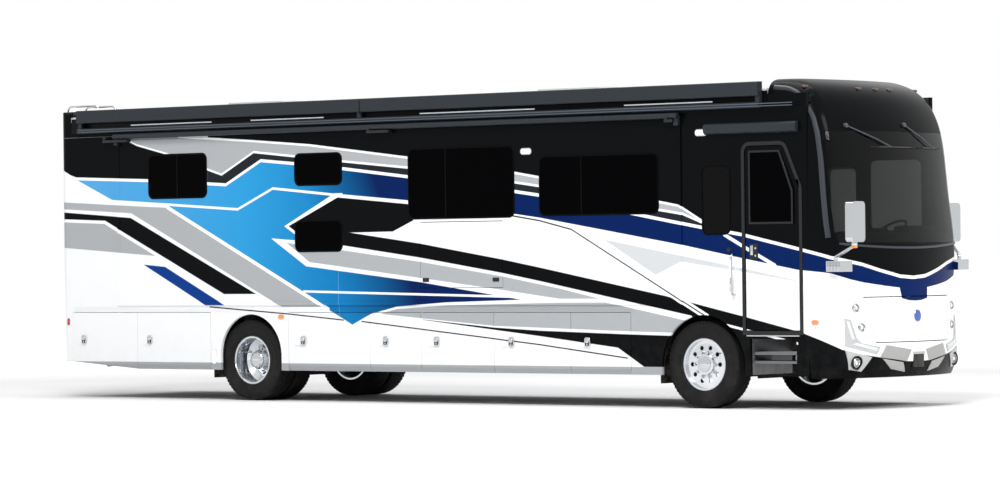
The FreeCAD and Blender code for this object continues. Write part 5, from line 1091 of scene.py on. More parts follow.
@dataclass(frozen=True)
class Studio:
    """The studio: its pale floor and surroundings, its soft lamps and the photo's camera."""

    camera: CameraPlan = CameraPlan()
    floor_colour: str = "f4f4f4"
    floor_half: float = 400.0
    ambient: float = 0.34
    lamps: tuple[Lamp, ...] = (
        Lamp("studio_key", (11.0, -20.0, 24.0), (1.0, 0.0, 1.5), 12.0, 7300.0),
        Lamp("studio_nose", (27.0, -1.0, 15.0), (5.0, 0.0, 1.5), 9.0, 3000.0),
        Lamp("studio_top", (-2.0, 3.0, 22.0), (-1.0, 0.0, 0.0), 16.0, 2600.0),
    )

    def build(self) -> None:
        """Set up the whole studio."""
        self.lay_floor()
        self.light_world()
        for lamp in self.lamps:
            self.hang(lamp)
        self.aim_camera()

    def lay_floor(self) -> None:
        """Lay a pale floor with a faint grain."""
        deselect()
        bpy.ops.mesh.primitive_plane_add(size=2 * self.floor_half, location=(0, 0, 0))
        floor = settle(bpy.context.object)
        floor.name = "studio_floor"
        material, bench, shader, coordinates = started("studio_floor")
        place = coordinates.outputs["Object"]
        grain = bench.ramp(bench.noise(place, 0.6, 3.0), 0.3, 0.7)
        spread = bench.add("ShaderNodeVectorMath", operation="LENGTH")
        bench.feed(spread.inputs[0], place)
        bench.feed(shader["Emission Strength"], bench.ramp(spread.outputs["Value"], 12.0, 24.0, 0.0, 0.8))
        shader["Emission Color"].default_value = (1, 1, 1, 1)
        bench.feed(shader["Base Color"], bench.blend(grain, hue("f1f1f1"), hue(self.floor_colour)))
        shader["Roughness"].default_value = 0.9
        shader["Specular IOR Level"].default_value = 0.05
        floor.data.materials.append(material)

    def light_world(self) -> None:
        """Surround the coach with pale light: plain white where it is looked at, softer where it lights."""
        world = bpy.data.worlds.new("studio_world")
        world.use_nodes = True
        bpy.context.scene.world = world
        bench = Bench(world.node_tree)
        background = world.node_tree.nodes["Background"]
        rays = bench.add("ShaderNodeLightPath")
        seen = bench.sum_of("MAXIMUM", rays.outputs["Is Camera Ray"], rays.outputs["Is Transmission Ray"])
        seen = bench.sum_of("MAXIMUM", seen, rays.outputs["Is Glossy Ray"])
        background.inputs["Color"].default_value = (1, 1, 1, 1)
        bench.feed(background.inputs["Strength"], bench.ramp(seen, 0.0, 1.0, self.ambient, 1.0))

    def hang(self, lamp: Lamp) -> None:
        """Hang one square soft lamp."""
        deselect()
        turn = (Vector(lamp.target) - Vector(lamp.place)).to_track_quat("-Z", "Y").to_euler()
        bpy.ops.object.light_add(type="AREA", location=lamp.place, rotation=turn)
        light = bpy.context.object
        light.name = lamp.name
        light.data.size = lamp.size
        light.data.energy = lamp.power

    def aim_camera(self) -> None:
        """Set the camera where the photo was taken."""
        plan = self.camera
        yaw, pitch, roll = (math.radians(angle) for angle in (plan.yaw, plan.pitch, plan.roll))
        forward = Vector((math.cos(pitch) * math.cos(yaw), math.cos(pitch) * math.sin(yaw), math.sin(pitch)))
        level = forward.cross(Vector((0, 0, 1))).normalized()
        upright = level.cross(forward)
        right = level * math.cos(roll) + upright * math.sin(roll)
        rise = upright * math.cos(roll) - level * math.sin(roll)
        deselect()
        bpy.ops.object.camera_add(location=plan.place)
        camera = bpy.context.object
        camera.name = "photo_camera"
        turn = Matrix((right, rise, -forward)).transposed().to_4x4()
        camera.matrix_world = Matrix.Translation(plan.place) @ turn
        camera.data.lens = plan.lens
        camera.data.sensor_width = 36.0
        camera.data.clip_end = 2000.0
        bpy.context.scene.camera = camera
        bpy.context.scene.view_settings.view_transform = "Standard"


@dataclass(frozen=True)
class PaintShop:
    """Gives every CAD node its finish."""

    finishes: Finishes
    painted: tuple[str, ...] = ("side_wall", "fenders", "slide", "media_door", "entry_door", "front_cap", "front_hood",
                                "front_bumper", "rear_cap", "engine_door")
    plain: dict[str, tuple[str, ...]] = field(default_factory=lambda: {
        "roof_white": ("roof",), "frame_black": ("chassis_frame", "front_axle", "rear_axle", "knuckle"),
        "gasket_rubber": ("air_springs",), "engine_paint": ("engine_block",), "dark_alloy": ("fuel_tank",),
        "tyre_rubber": ("tyre_front", "tyres_rear"), "wheel_alloy": ("rim_front", "rims_rear"),
        "floor_wood": ("floor",), "tray_metal": ("basement",), "dash_grain": ("dashboard",), "lens_clear": ("lamps",),
        "privacy_glass": ("slide_glass", "entry_door_glass"), "slate_awning": ("slide_topper", "awnings"),
        "black_trim": ("door_frame",), "tread_plate": ("entry_step",), "chrome": ("hand_rails", "mirrors"),
        "shell_white": ("roof_units",), "cab_leather": ("seats",), "flap_rubber": ("mud_flaps",)})

    def spray(self) -> None:
        """Assign the materials."""
        tinted = {"windshield": TintedGlass("windshield_glass", "747b7d", 1.0).build(),
                  "side_glass": TintedGlass("cab_glass", "7d7976", 1.0, True).build()}
        plain = {kind: finish for finish, kinds in self.plain.items() for kind in kinds}
        for name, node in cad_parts.items():
            kind = name.removesuffix("_right").removesuffix("_left")
            if kind in self.painted or name.startswith("bay_door"):
                finish = self.finishes["coach_paint"]
            else:
                finish = tinted[name] if name in tinted else self.finishes[plain[kind]]
            node.data.materials.clear()
            node.data.materials.append(finish)
            log.info("%s takes %s", name, finish.name)


def cast(node: str, start: Point, direction: Point) -> tuple[Vector, Vector] | None:
    """Return where a straight line meets a CAD node and the surface's direction there, or nothing."""
    met, spot, facing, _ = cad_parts[node].ray_cast(Vector(start), Vector(direction))
    return (spot, facing) if met else None


def landed(node: str, start: Point, direction: Point) -> tuple[Vector, Vector]:
    """Find where a straight line first meets a CAD node.

    Args:
        node: The node's name.
        start: Where the line starts.
        direction: Where it runs.

    Returns:
        The place that it meets and the surface's direction there.
    """
    met = cast(node, start, direction)
    if met is None:
        raise ValueError(f"{node} isn't met from {tuple(start)}")
    return met


def nose_x(across: float, height: float, nodes: tuple[str, ...] = ("front_cap", "front_hood", "front_bumper",
                                                                  "windshield")) -> float | None:
    """Return how far forward the nose reaches at a place across it, or nothing where there is none."""
    met = [cast(node, (ahead(6.0), across, height), (-1, 0, 0)) for node in nodes]
    return max((place[0].x for place in met if place), default=None)


def prism(outline: list[Flat]) -> Object:
    """Return a long prism along X with an outline across the nose."""
    return plate(outline, "X", -5.0, 5.0)


def draped(outline: list[Flat], proud: float, sink: float = 0.002, holes: list[list[Flat]] | None = None,
           cell: float = 0.03, nodes: tuple[str, ...] = ("front_cap", "front_hood", "front_bumper", "windshield")
           ) -> Object:
    """Add a plate that follows the nose's curve.

    Args:
        outline: Its corners across and up the nose.
        proud: How far it stands out.
        sink: How far it reaches into the surface.
        holes: Outlines cut out of it.
        cell: The size of its mesh's squares.
        nodes: The CAD nodes that it lies on.

    Returns:
        The new object.
    """
    low = [min(point[index] for point in outline) for index in (0, 1)]
    high = [max(point[index] for point in outline) for index in (0, 1)]
    counts = [max(2, math.ceil((b - a) / cell)) for a, b in zip(low, high)]
    deselect()
    bpy.ops.mesh.primitive_grid_add(x_subdivisions=counts[0], y_subdivisions=counts[1], size=1)
    sheet = bpy.context.object
    for vertex in sheet.data.vertices:
        side = low[0] + (vertex.co.x + 0.5) * (high[0] - low[0]) * 1.0001
        rise = low[1] + (vertex.co.y + 0.5) * (high[1] - low[1]) * 1.0001
        vertex.co = (0.0, side, rise)
    with editing():
        bpy.ops.mesh.extrude_region_move(TRANSFORM_OT_translate={"value": (1, 0, 0)})
    outward(sheet)
    for operation, shape in [("INTERSECT", outline), *[("DIFFERENCE", hole) for hole in holes or []]]:
        cutter = prism(shape)
        modify(sheet, "BOOLEAN", operation=operation, object=cutter, solver="EXACT")
        drop(cutter)
    last = ahead(1.9)
    for vertex in sheet.data.vertices:
        front = nose_x(vertex.co.y, vertex.co.z, nodes)
        last = front if front is not None else last
        vertex.co.x = last + (proud if vertex.co.x > 0.5 else -sink)
    return sheet


@dataclass(frozen=True)
class Assembly:
    """Visual pieces that belong together and are fitted to the coach in one go."""

    finishes: Finishes

    def fit(self) -> None:
        """Build every piece and fit it."""
        raise NotImplementedError

    def add(self, pieces: Object | list[Object], name: str, finish: str, body: str = "chassis",
            angle: float = 35.0) -> Object:
        """Join pieces, name them and let them ride on a body.

        Args:
            pieces: One piece or several to join.
            name: The joined piece's name.
            finish: The finish's name.
            body: The body that it moves with.
            angle: The edge angle for its shading.

        Returns:
            The fitted piece.
        """
        whole = joined(pieces) if isinstance(pieces, list) else pieces
        return fitted(whole, name, self.finishes[finish], body, angle)


def on_side(side: Side, outline: list[Flat], face: float, proud: float, round_by: float = 0.0, segments: int = 2
            ) -> Object:
    """Add a plate on one of the coach's long sides.

    Args:
        side: The side.
        outline: Its corners as stations and heights.
        face: How far out the face lies that it stands on.
        proud: How far it stands out of that face.
        round_by: The width of its edges' rounding.
        segments: Steps of the rounding.

    Returns:
        The new object.
    """
    points = [(ahead(station), height) for station, height in outline]
    return plate(points, "Y", side.value * face, side.value * (face + proud), round_by, segments)


@dataclass(frozen=True)
class Pane:
    """A window: its lowest and highest corner as stations and heights, its body, and where its bar is."""

    name: str
    low: Flat
    high: Flat
    body: str
    face: float
    bar: float = 0.0


@dataclass(frozen=True)
class WindowFrames(Assembly):
    """Black frames and vent bars on the windows of both sides."""

    slide_face: float = 1.287
    wall_face: float = 1.275
    ring: float = 0.020
    proud: float = 0.0045
    radius: float = 0.085
    bath: tuple[Flat, Flat] = ((-8.72, 2.541), (-7.69, 3.11))
    bunk_high: tuple[Flat, Flat] = ((-6.21, 2.66), (-5.42, 3.065))
    bunk_low: tuple[Flat, Flat] = ((-6.21, 1.842), (-5.42, 2.24))
    lounge: tuple[Flat, Flat] = ((-4.36, 2.22), (-2.70, 3.08))
    dinette: tuple[Flat, Flat] = ((-2.33, 2.23), (-0.56, 2.94))
    cab: tuple[Flat, Flat] = ((0.04, 1.98), (0.45, 2.77))

    def panes(self, side: Side) -> list[Pane]:
        """Return the windows of one side."""
        slide = f"slide_{side.word}"
        rear_body, rear_face = (slide, self.slide_face) if side is Side.RIGHT else ("chassis", self.wall_face)
        panes = [Pane("bedroom", *self.bath, rear_body, rear_face, 0.5),
                 Pane("bunk_high", *self.bunk_high, rear_body, rear_face),
                 Pane("lounge", *self.lounge, slide, self.slide_face, 0.36),
                 Pane("dinette", *self.dinette, slide, self.slide_face, 0.36),
                 Pane("cab", *self.cab, "chassis", self.wall_face, 0.0)]
        if side is Side.RIGHT:
            panes.append(Pane("bunk_low", *self.bunk_low, slide, self.slide_face))
        return panes

    def fit(self) -> None:
        """Fit a frame to each window."""
        for side in Side:
            for pane in self.panes(side):
                self.frame_pane(side, pane)

    def frame_pane(self, side: Side, pane: Pane) -> None:
        """Frame one window.

        Args:
            side: The side that it is on.
            pane: The window.
        """
        low = (ahead(pane.low[0]), pane.low[1])
        high = (ahead(pane.high[0]), pane.high[1])
        inner = round_outline((low[0] + self.ring, low[1] + self.ring), (high[0] - self.ring, high[1] - self.ring),
                              self.radius - self.ring)
        face = side.value * pane.face
        out = side.value * (pane.face + self.proud)
        parts = [frame_ring(inner, round_outline(low, high, self.radius), "Y", face, out, 0.0012)]
        if pane.bar:
            middle = low[0] + (high[0] - low[0]) * pane.bar
            parts.append(block((middle - 0.011, min(face, out), low[1] + self.ring),
                               (middle + 0.011, max(face, out), high[1] - self.ring), 0.001))
        self.add(parts, f"window_{pane.name}_{side.word}", "window_trim", pane.body)


@dataclass(frozen=True)
class BaggageFittings(Assembly):
    """Chrome paddle latches with key locks on the baggage doors."""

    right: dict[str, float] = field(default_factory=lambda: {
        "one": -9.905, "two": -8.725, "three": -6.09, "four": -4.745, "five": -3.935, "six": -2.775, "seven": -1.63})
    left: tuple[str, ...] = ("one", "two", "three", "five", "six")
    height: float = 0.75
    half_wide: float = 0.043
    half_tall: float = 0.058
    face: float = 1.289

    def fit(self) -> None:
        """Fit one latch to each door."""
        for side in Side:
            for name, station in self.right.items():
                if side is Side.LEFT and name not in self.left:
                    continue
                self.latch(side, name, station)

    def latch(self, side: Side, name: str, station: float) -> None:
        """Fit one latch: a plate, a dark dish, a paddle and a key lock."""
        body = f"bay_door_{side.word}_{name}"
        wide, tall, middle = self.half_wide, self.half_tall, self.height
        outer = oblong((station, middle), (wide, tall), wide * 0.62)
        dish = round_outline((station - wide * 0.72, middle - tall * 0.74),
                             (station + wide * 0.72, middle + tall * 0.5), wide * 0.45)
        paddle = round_outline((station - wide * 0.62, middle - tall * 0.15),
                               (station + wide * 0.62, middle + tall * 0.62), wide * 0.4)
        plate_piece = on_side(side, outer, self.face, 0.006, 0.0025, 3)
        lever = on_side(side, paddle, self.face + 0.004, 0.011, 0.004, 3)
        key = knob(side, (station, middle - tall * 0.45), self.face + 0.005, 0.0055, wide * 0.26)
        self.add([plate_piece, lever, key], f"latch_{side.word}_{name}", "chrome", body)
        hollow = on_side(side, dish, self.face + 0.0055, 0.0012, 0.0)
        self.add(hollow, f"latch_dish_{side.word}_{name}", "satin_black", body)


@dataclass(frozen=True)
class BeltLines(Assembly):
    """Raised painted lines along both sides."""

    heights: tuple[float, ...] = (1.120, 1.142, 1.164)
    half: float = 0.0042
    proud: float = 0.005
    start: float = -10.09
    end: float = -0.96

    def fit(self) -> None:
        """Fit the lines of both sides."""
        for side in Side:
            lines = [on_side(side, [(self.start, height - self.half), (self.end, height - self.half),
                                    (self.end, height + self.half), (self.start, height + self.half)],
                             SKIN - 0.001, self.proud, 0.002) for height in self.heights]
            self.add(lines, f"belt_lines_{side.word}", "coach_paint")


def knob(side: Side, place: Flat, face: float, proud: float, radius: float, sides: int = 20, round_by: float = 0.001
         ) -> Object:
    """Add a round button on one of the coach's long sides.

    Args:
        side: The side.
        place: Its middle as a station and a height.
        face: How far out the face lies that it stands on.
        proud: How far it stands out of that face.
        radius: Its radius.
        sides: How many sides it has.
        round_by: The width of its rims' rounding.

    Returns:
        The new object.
    """
    ends = [(ahead(place[0]), side.value * out, place[1]) for out in (face, face + proud)]
    return stick(*ends, radius, sides, round_by)


@dataclass(frozen=True)
class EntryFittings(Assembly):
    """The entry door's lock and window frame, the lit handle, the bell, the porch lamps and the step edges."""

    face: float = 1.275
    lock_low: Flat = (0.705, 1.70)
    lock_high: Flat = (0.825, 1.875)
    window_inner: tuple[Flat, ...] = ((0.722, 2.118), (1.288, 2.118), (1.288, 2.46), (1.115, 2.905), (0.722, 2.905))
    window_outer: tuple[Flat, ...] = ((0.700, 2.095), (1.311, 2.095), (1.311, 2.47), (1.132, 2.928), (0.700, 2.928))
    handle_station: float = 0.49
    handle_radius: float = 0.0125
    handle_sleeve: Flat = (1.50, 1.69)
    handle_ends: tuple[tuple[str, Flat], ...] = (("top", (1.69, 1.735)), ("foot", (1.34, 1.50)))
    bell: Flat = (0.42, 1.81)
    porch: tuple[tuple[Flat, str, float], ...] = (((-2.52, 3.0), "slide_right", 1.287),
                                                  ((0.04, 3.15), "chassis", 1.275))
    sill: tuple[Point, Point] = ((0.66, -1.290, 0.828), (1.39, -1.236, 0.842))
    step_run: Flat = (0.722, 1.318)
    step_top: float = 0.648
    treads: int = 7
    tread_pitch: float = 0.04

    def fit(self) -> None:
        """Fit every piece round the door."""
        side = Side.RIGHT
        low, high = self.lock_low, self.lock_high
        self.add(on_side(side, round_outline(low, high, 0.022), self.face, 0.010, 0.003, 3), "entry_lock_plate",
                 "satin_black", "entry_door")
        lever = on_side(side, round_outline((low[0] + 0.022, low[1] + 0.045), (low[0] + 0.060, high[1] - 0.02), 0.012),
                        self.face + 0.009, 0.010, 0.003, 3)
        buttons = [knob(side, (high[0] - 0.03, height), self.face + 0.009, 0.0045, 0.012)
                   for height in (low[1] + 0.04, high[1] - 0.05)]
        self.add([lever, *buttons], "entry_lock_levers", "chrome", "entry_door")
        inner, outer = ([(ahead(station), height) for station, height in points]
                        for points in (self.window_inner, self.window_outer))
        self.add(frame_ring(inner, outer, "Y", -self.face, -(self.face + 0.004), 0.001), "entry_window_frame",
                 "black_trim", "entry_door")
        self.handle()
        self.add(knob(side, self.bell, self.face, 0.009, 0.028, 28, 0.002), "entry_bell", "satin_black")
        for index, (place, body, face) in enumerate(self.porch):
            self.add(on_side(side, oblong(place, (0.085, 0.04), 0.035), face, 0.006, 0.002), f"porch_lamp_rim_{index}",
                     "brushed_metal", body)
            self.add(on_side(side, oblong(place, (0.072, 0.028), 0.026), face + 0.004, 0.008, 0.003),
                     f"porch_lamp_lens_{index}", "lens_white", body)
        low, high = ((ahead(corner[0]), *corner[1:]) for corner in self.sill)
        self.add(block(low, high, 0.002), "entry_sill", "brushed_metal")
        start, end = (ahead(station) for station in self.step_run)
        edge = block((start, -1.2295, self.step_top - 0.012), (end, -1.2225, self.step_top), 0.001)
        treads = [block((start, -1.215 + step * self.tread_pitch, 0.6505),
                        (end, -1.200 + step * self.tread_pitch, 0.6535), 0.001) for step in range(self.treads)]
        self.add([edge, *treads], "entry_step_grips", "brushed_metal", "entry_step")

    def handle(self) -> None:
        """Dress the grab handle: a clear lit sleeve and bright ends."""
        spot, _ = landed("hand_rails", (ahead(self.handle_station), -3.0, 1.55), (0, 1, 0))
        sleeve = self.grip(spot.y, self.handle_sleeve, 0.003, 0.001)
        self.add(sleeve, "entry_handle_sleeve", "light_strip")
        for name, run in self.handle_ends:
            self.add(self.grip(spot.y, run, 0.004, 0.002), f"entry_handle_{name}", "chrome")

    def grip(self, front: float, run: Flat, thick: float, round_by: float) -> Object:
        """Return a sleeve round the grab handle between two heights."""
        ends = [(ahead(self.handle_station), front + self.handle_radius, height) for height in run]
        return stick(*ends, self.handle_radius + thick, 24, round_by)


@dataclass(frozen=True)
class Tyres(Assembly):
    """Tyres with circumferential grooves, shoulder blocks and side ribs, in place of the plain ones."""

    radius: float = 0.5028
    plain_radius: float = 0.503
    lip: float = 0.2865
    half: float = 0.1385
    groove: float = 0.012
    blocks: int = 60

    def section(self) -> list[Flat]:
        """Return the half section, from the inner lip over the tread and back."""
        outer, lip, half, groove = self.radius, self.lip, self.half, self.groove
        side = [(-0.098, lip), (-0.112, lip + 0.008), (-0.118, lip + 0.030), (-half * 0.94, lip + 0.075),
                (-half, lip + 0.118), (-half * 0.995, lip + 0.150), (-half * 0.965, lip + 0.178),
                (-half * 0.93, lip + 0.188), (-half * 0.935, lip + 0.193), (-half * 0.90, outer - 0.010),
                (-half * 0.84, outer - 0.003)]
        tread: list[Flat] = []
        for middle in (-0.075, -0.026, 0.026, 0.075):
            crown = outer - 0.0006
            tread += [(middle - 0.0075, crown), (middle - 0.0048, outer - groove), (middle + 0.0048, outer - groove),
                      (middle + 0.0075, crown)]
        return side + tread + [(-along, out) for along, out in reversed(side)]

    def fit(self) -> None:
        """Fit all the tyres."""
        pattern = joined([spun(self.section(), (0, 0, 0), "Y", 96, closed=True), *self.shoulders((0, 0, 0)),
                          *self.rings((0, 0, 0))])
        for side in Side:
            self.shoe(pattern, side, f"tyre_front_{side.word}", FRONT_AXLE, (1.081,), f"wheel_front_{side.word}")
            self.shoe(pattern, side, f"tyres_rear_{side.word}", ahead(REAR_AXLE), (1.081, 0.761),
                      f"wheels_rear_{side.word}")
        drop(pattern)

    def shoe(self, pattern: Object, side: Side, node: str, station: float, places: tuple[float, ...],
             body: str) -> None:
        """Copy the tyre to its place, or to two places that turn as one.

        Args:
            pattern: The finished tyre, its middle at the origin.
            side: The side that it is on.
            node: The CAD node that it takes the place of.
            station: The axle's X.
            places: How far out the middle of each tyre is.
            body: The body that it turns with.
        """
        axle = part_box(node)[0][2] + self.plain_radius
        parts = [copied(pattern, (station, side.value * out, axle)) for out in places]
        piece = self.add(parts, f"{node}_rubber", "tyre_rubber", body, 30.0)
        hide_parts(node)

    def shoulders(self, centre: Point) -> list[Object]:
        """Return the ring of blocks on both shoulders."""
        blocks = []
        for sign in (-1, 1):
            low = (centre[0] - 0.017, centre[1] + sign * self.half * 0.90, centre[2] + self.radius - 0.030)
            high = (centre[0] + 0.017, centre[1] + sign * self.half * 0.985, centre[2] + self.radius - 0.0075)
            first = block(tuple(min(a, b) for a, b in zip(low, high)), tuple(max(a, b) for a, b in zip(low, high)),
                          0.002, 1)
            for index in range(self.blocks):
                turn = turned_about(copied(first, (0, 0, 0)), centre, "Y", 360.0 / self.blocks * (index + 0.5))
                blocks.append(turn)
            drop(first)
        return [joined(blocks)]

    def rings(self, centre: Point) -> list[Object]:
        """Return the raised rings on both side faces."""
        rings = []
        for sign in (-1, 1):
            for out in (self.lip + 0.060, self.lip + 0.135):
                base = self.half * (0.905 if out < 0.37 else 0.985)
                section = [(sign * base, out - 0.005), (sign * (base + 0.0035), out - 0.003),
                           (sign * (base + 0.0035), out + 0.003), (sign * base, out + 0.005)]
                rings.append(spun(section, centre, "Y", 96, closed=True))
        return rings


@dataclass(frozen=True)
class Wheels(Assembly):
    """Nuts with bright covers, hub caps, rim rings and valves on all the wheels."""

    rim_radius: float = 0.299
    nuts: int = 10
    nut_circle: float = 0.1429
    nut: float = 0.0185
    front_nuts: Flat = (1.1684, 0.036)
    rear_nuts: Flat = (0.953, 0.045)
    hub_cap: tuple[Flat, ...] = ((1.1940, 0.0), (1.1940, 0.0885), (1.2085, 0.0865), (1.2125, 0.080), (1.2135, 0.066),
                                 (1.2165, 0.060), (1.2185, 0.040), (1.2195, 0.0))
    hub_cover: tuple[Flat, ...] = ((1.105, 0.0), (1.105, 0.1055), (1.112, 0.1085), (1.122, 0.104), (1.1335, 0.092),
                                   (1.1375, 0.070), (1.1395, 0.040), (1.1400, 0.0))
    rim_ring: tuple[Flat, ...] = ((1.1995, 0.2885), (1.2035, 0.2905), (1.2035, 0.2955), (1.1995, 0.2975))
    bolts: int = 8
    bolt: Point = (0.088, 1.130, 1.1435)
    bolt_radius: float = 0.0075
    front_valve: tuple[Point, Point] = ((0.205, 1.150, 0.135), (0.190, 1.190, 0.125))
    rear_valve: tuple[Point, Point] = ((-0.215, 0.975, 0.09), (-0.245, 1.13, 0.10))

    def fit(self) -> None:
        """Fit the wheels of both sides."""
        for side in Side:
            self.front(side)
            self.rear(side)

    def ring_of_nuts(self, side: Side, station: float, axle: float, face: float, rise: float) -> list[Object]:
        """Return ten capped nuts on their circle."""
        nuts = []
        for index in range(self.nuts):
            angle = math.tau * (index + 0.5) / self.nuts
            place = (station + self.nut_circle * math.sin(angle), axle + self.nut_circle * math.cos(angle))
            ends = [(place[0], side.value * out, place[1]) for out in (face - 0.004, face + 0.005, face + rise)]
            nuts.append(stick(ends[0], ends[1], self.nut * 1.35, 20, 0.001))
            nuts.append(stick(ends[1], ends[2], self.nut, 6, 0.003, self.nut * 0.82))
        return nuts

    def turned(self, side: Side, profile: tuple[Flat, ...], station: float, axle: float, steps: int,
               closed: bool = True) -> Object:
        """Spin a profile of places out from the coach's middle and radii round a wheel's axle."""
        return spun([(side.value * out, radius) for out, radius in profile], (station, 0, axle), "Y", steps, closed)

    def valve(self, side: Side, run: tuple[Point, Point], station: float, axle: float, radius: float) -> Object:
        """Return a valve along a run that is measured from the wheel's axle."""
        ends = [(station + along, side.value * out, axle + rise) for along, out, rise in run]
        return stick(*ends, radius, 12, 0.001)

    def front(self, side: Side) -> None:
        """Dress a front wheel: nuts, a domed hub cap, a rim ring and a valve."""
        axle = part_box(f"rim_front_{side.word}")[0][2] + self.rim_radius
        body = f"wheel_front_{side.word}"
        self.add(self.ring_of_nuts(side, FRONT_AXLE, axle, *self.front_nuts), f"nuts_front_{side.word}", "chrome", body)
        self.add(self.turned(side, self.hub_cap, FRONT_AXLE, axle, 48, False), f"hub_cap_front_{side.word}", "chrome",
                 body)
        self.add(self.turned(side, self.rim_ring, FRONT_AXLE, axle, 96), f"rim_ring_front_{side.word}", "chrome", body)
        self.add(self.valve(side, self.front_valve, FRONT_AXLE, axle, 0.0055), f"valve_front_{side.word}",
                 "satin_black", body)

    def rear(self, side: Side) -> None:
        """Dress a rear wheel: nuts deep in the dish, the hub's bolted cover, a rim ring and a long valve."""
        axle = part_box(f"rims_rear_{side.word}")[0][2] + self.rim_radius
        station = ahead(REAR_AXLE)
        body = f"wheels_rear_{side.word}"
        self.add(self.ring_of_nuts(side, station, axle, *self.rear_nuts), f"nuts_rear_{side.word}", "chrome", body)
        self.add(self.turned(side, self.hub_cover, station, axle, 48, False), f"hub_cover_rear_{side.word}", "chrome",
                 body)
        circle_radius, inner, outer = self.bolt
        bolts = []
        for index in range(self.bolts):
            angle = math.tau * index / self.bolts
            place = (station + circle_radius * math.sin(angle), axle + circle_radius * math.cos(angle))
            ends = [(place[0], side.value * out, place[1]) for out in (inner, outer)]
            bolts.append(stick(*ends, self.bolt_radius, 6, 0.001))
        self.add(bolts, f"hub_bolts_rear_{side.word}", "dark_alloy", body)
        self.add(self.turned(side, self.rim_ring, station, axle, 96), f"rim_ring_rear_{side.word}", "chrome", body)
        self.add(self.valve(side, self.rear_valve, station, axle, 0.006), f"valve_rear_{side.word}", "brushed_metal",
                 body)


def circle(centre: Flat, radius: float, steps: int = 28) -> list[Flat]:
    """Return the outline of a circle."""
    turns = [math.tau * step / steps for step in range(steps)]
    return [(centre[0] + radius * math.cos(turn), centre[1] + radius * math.sin(turn)) for turn in turns]


@dataclass(frozen=True)
class Lamps(Assembly):
    """Rims and lenses on the round lamps, and the five clearance lamps on the cap."""

    head: dict[str, tuple[float, float, float]] = field(default_factory=lambda: {
        "low_beam": (0.905, 0.925, 0.048), "high_beam": (0.963, 1.143, 0.048), "fog": (0.985, 0.531, 0.052)})
    tail: dict[str, tuple[float, float, float]] = field(default_factory=lambda: {
        "stop": (1.01, 1.07, 0.060), "turn": (1.01, 0.90, 0.060)})
    rim: tuple[Flat, ...] = ((-0.004, 0.80), (0.008, 0.82), (0.011, 0.94), (0.005, 1.08), (-0.006, 1.10))
    dome: tuple[Flat, ...] = ((0.002, 0.0), (0.002, 0.80), (0.008, 0.66), (0.012, 0.36), (0.0135, 0.0))
    eye: tuple[Flat, ...] = ((-0.012, 0.0), (-0.012, 0.5), (0.0, 0.46), (0.004, 0.3), (0.005, 0.0))
    clearance: tuple[tuple[float, float], ...] = ((1.37, -1.10), (1.56, -0.32), (1.575, 0.0), (1.56, 0.30),
                                                  (1.37, 1.10))
    clearance_half: Point = (0.024, 0.040, 0.016)

    def fit(self) -> None:
        """Fit the lamps of nose, tail and cap."""
        for side in Side:
            for name, (across, height, radius) in self.head.items():
                spot, _ = landed("lamps", (ahead(4.0), side.value * across, height), (-1, 0, 0))
                self.lamp(f"{name}_{side.word}", spot, radius, 1.0, "lens_clear")
                eye = spun([(along, radius * out) for along, out in self.eye], spot, "X", 28)
                self.add(eye, f"{name}_eye_{side.word}", "lens_white")
            for name, (across, height, radius) in self.tail.items():
                spot, _ = landed("lamps", (ahead(-12.0), side.value * across, height), (1, 0, 0))
                self.lamp(f"tail_{name}_{side.word}", spot, radius, -1.0,
                          "lens_red" if name == "stop" else "lens_amber")
        wide = self.clearance_half
        for index, (station, across) in enumerate(self.clearance):
            spot, _ = landed("front_cap", (ahead(station), across, 5.0), (0, 0, -1))
            low = [spot[axis] - wide[axis] for axis in range(3)]
            high = [spot[axis] + wide[axis] for axis in range(3)]
            self.add(block(low, high, 0.011, 4), f"clearance_lamp_{index}", "clearance_amber")

    def lamp(self, name: str, spot: Vector, radius: float, forward: float, lens: str) -> None:
        """Dress one round lamp with a chrome rim and a domed lens."""
        rim = spun([(forward * along, radius * out) for along, out in self.rim], spot, "X", 40)
        self.add(rim, f"lamp_rim_{name}", "chrome")
        dome = spun([(forward * along, radius * out) for along, out in self.dome], spot, "X", 40)
        self.add(dome, f"lamp_lens_{name}", lens)


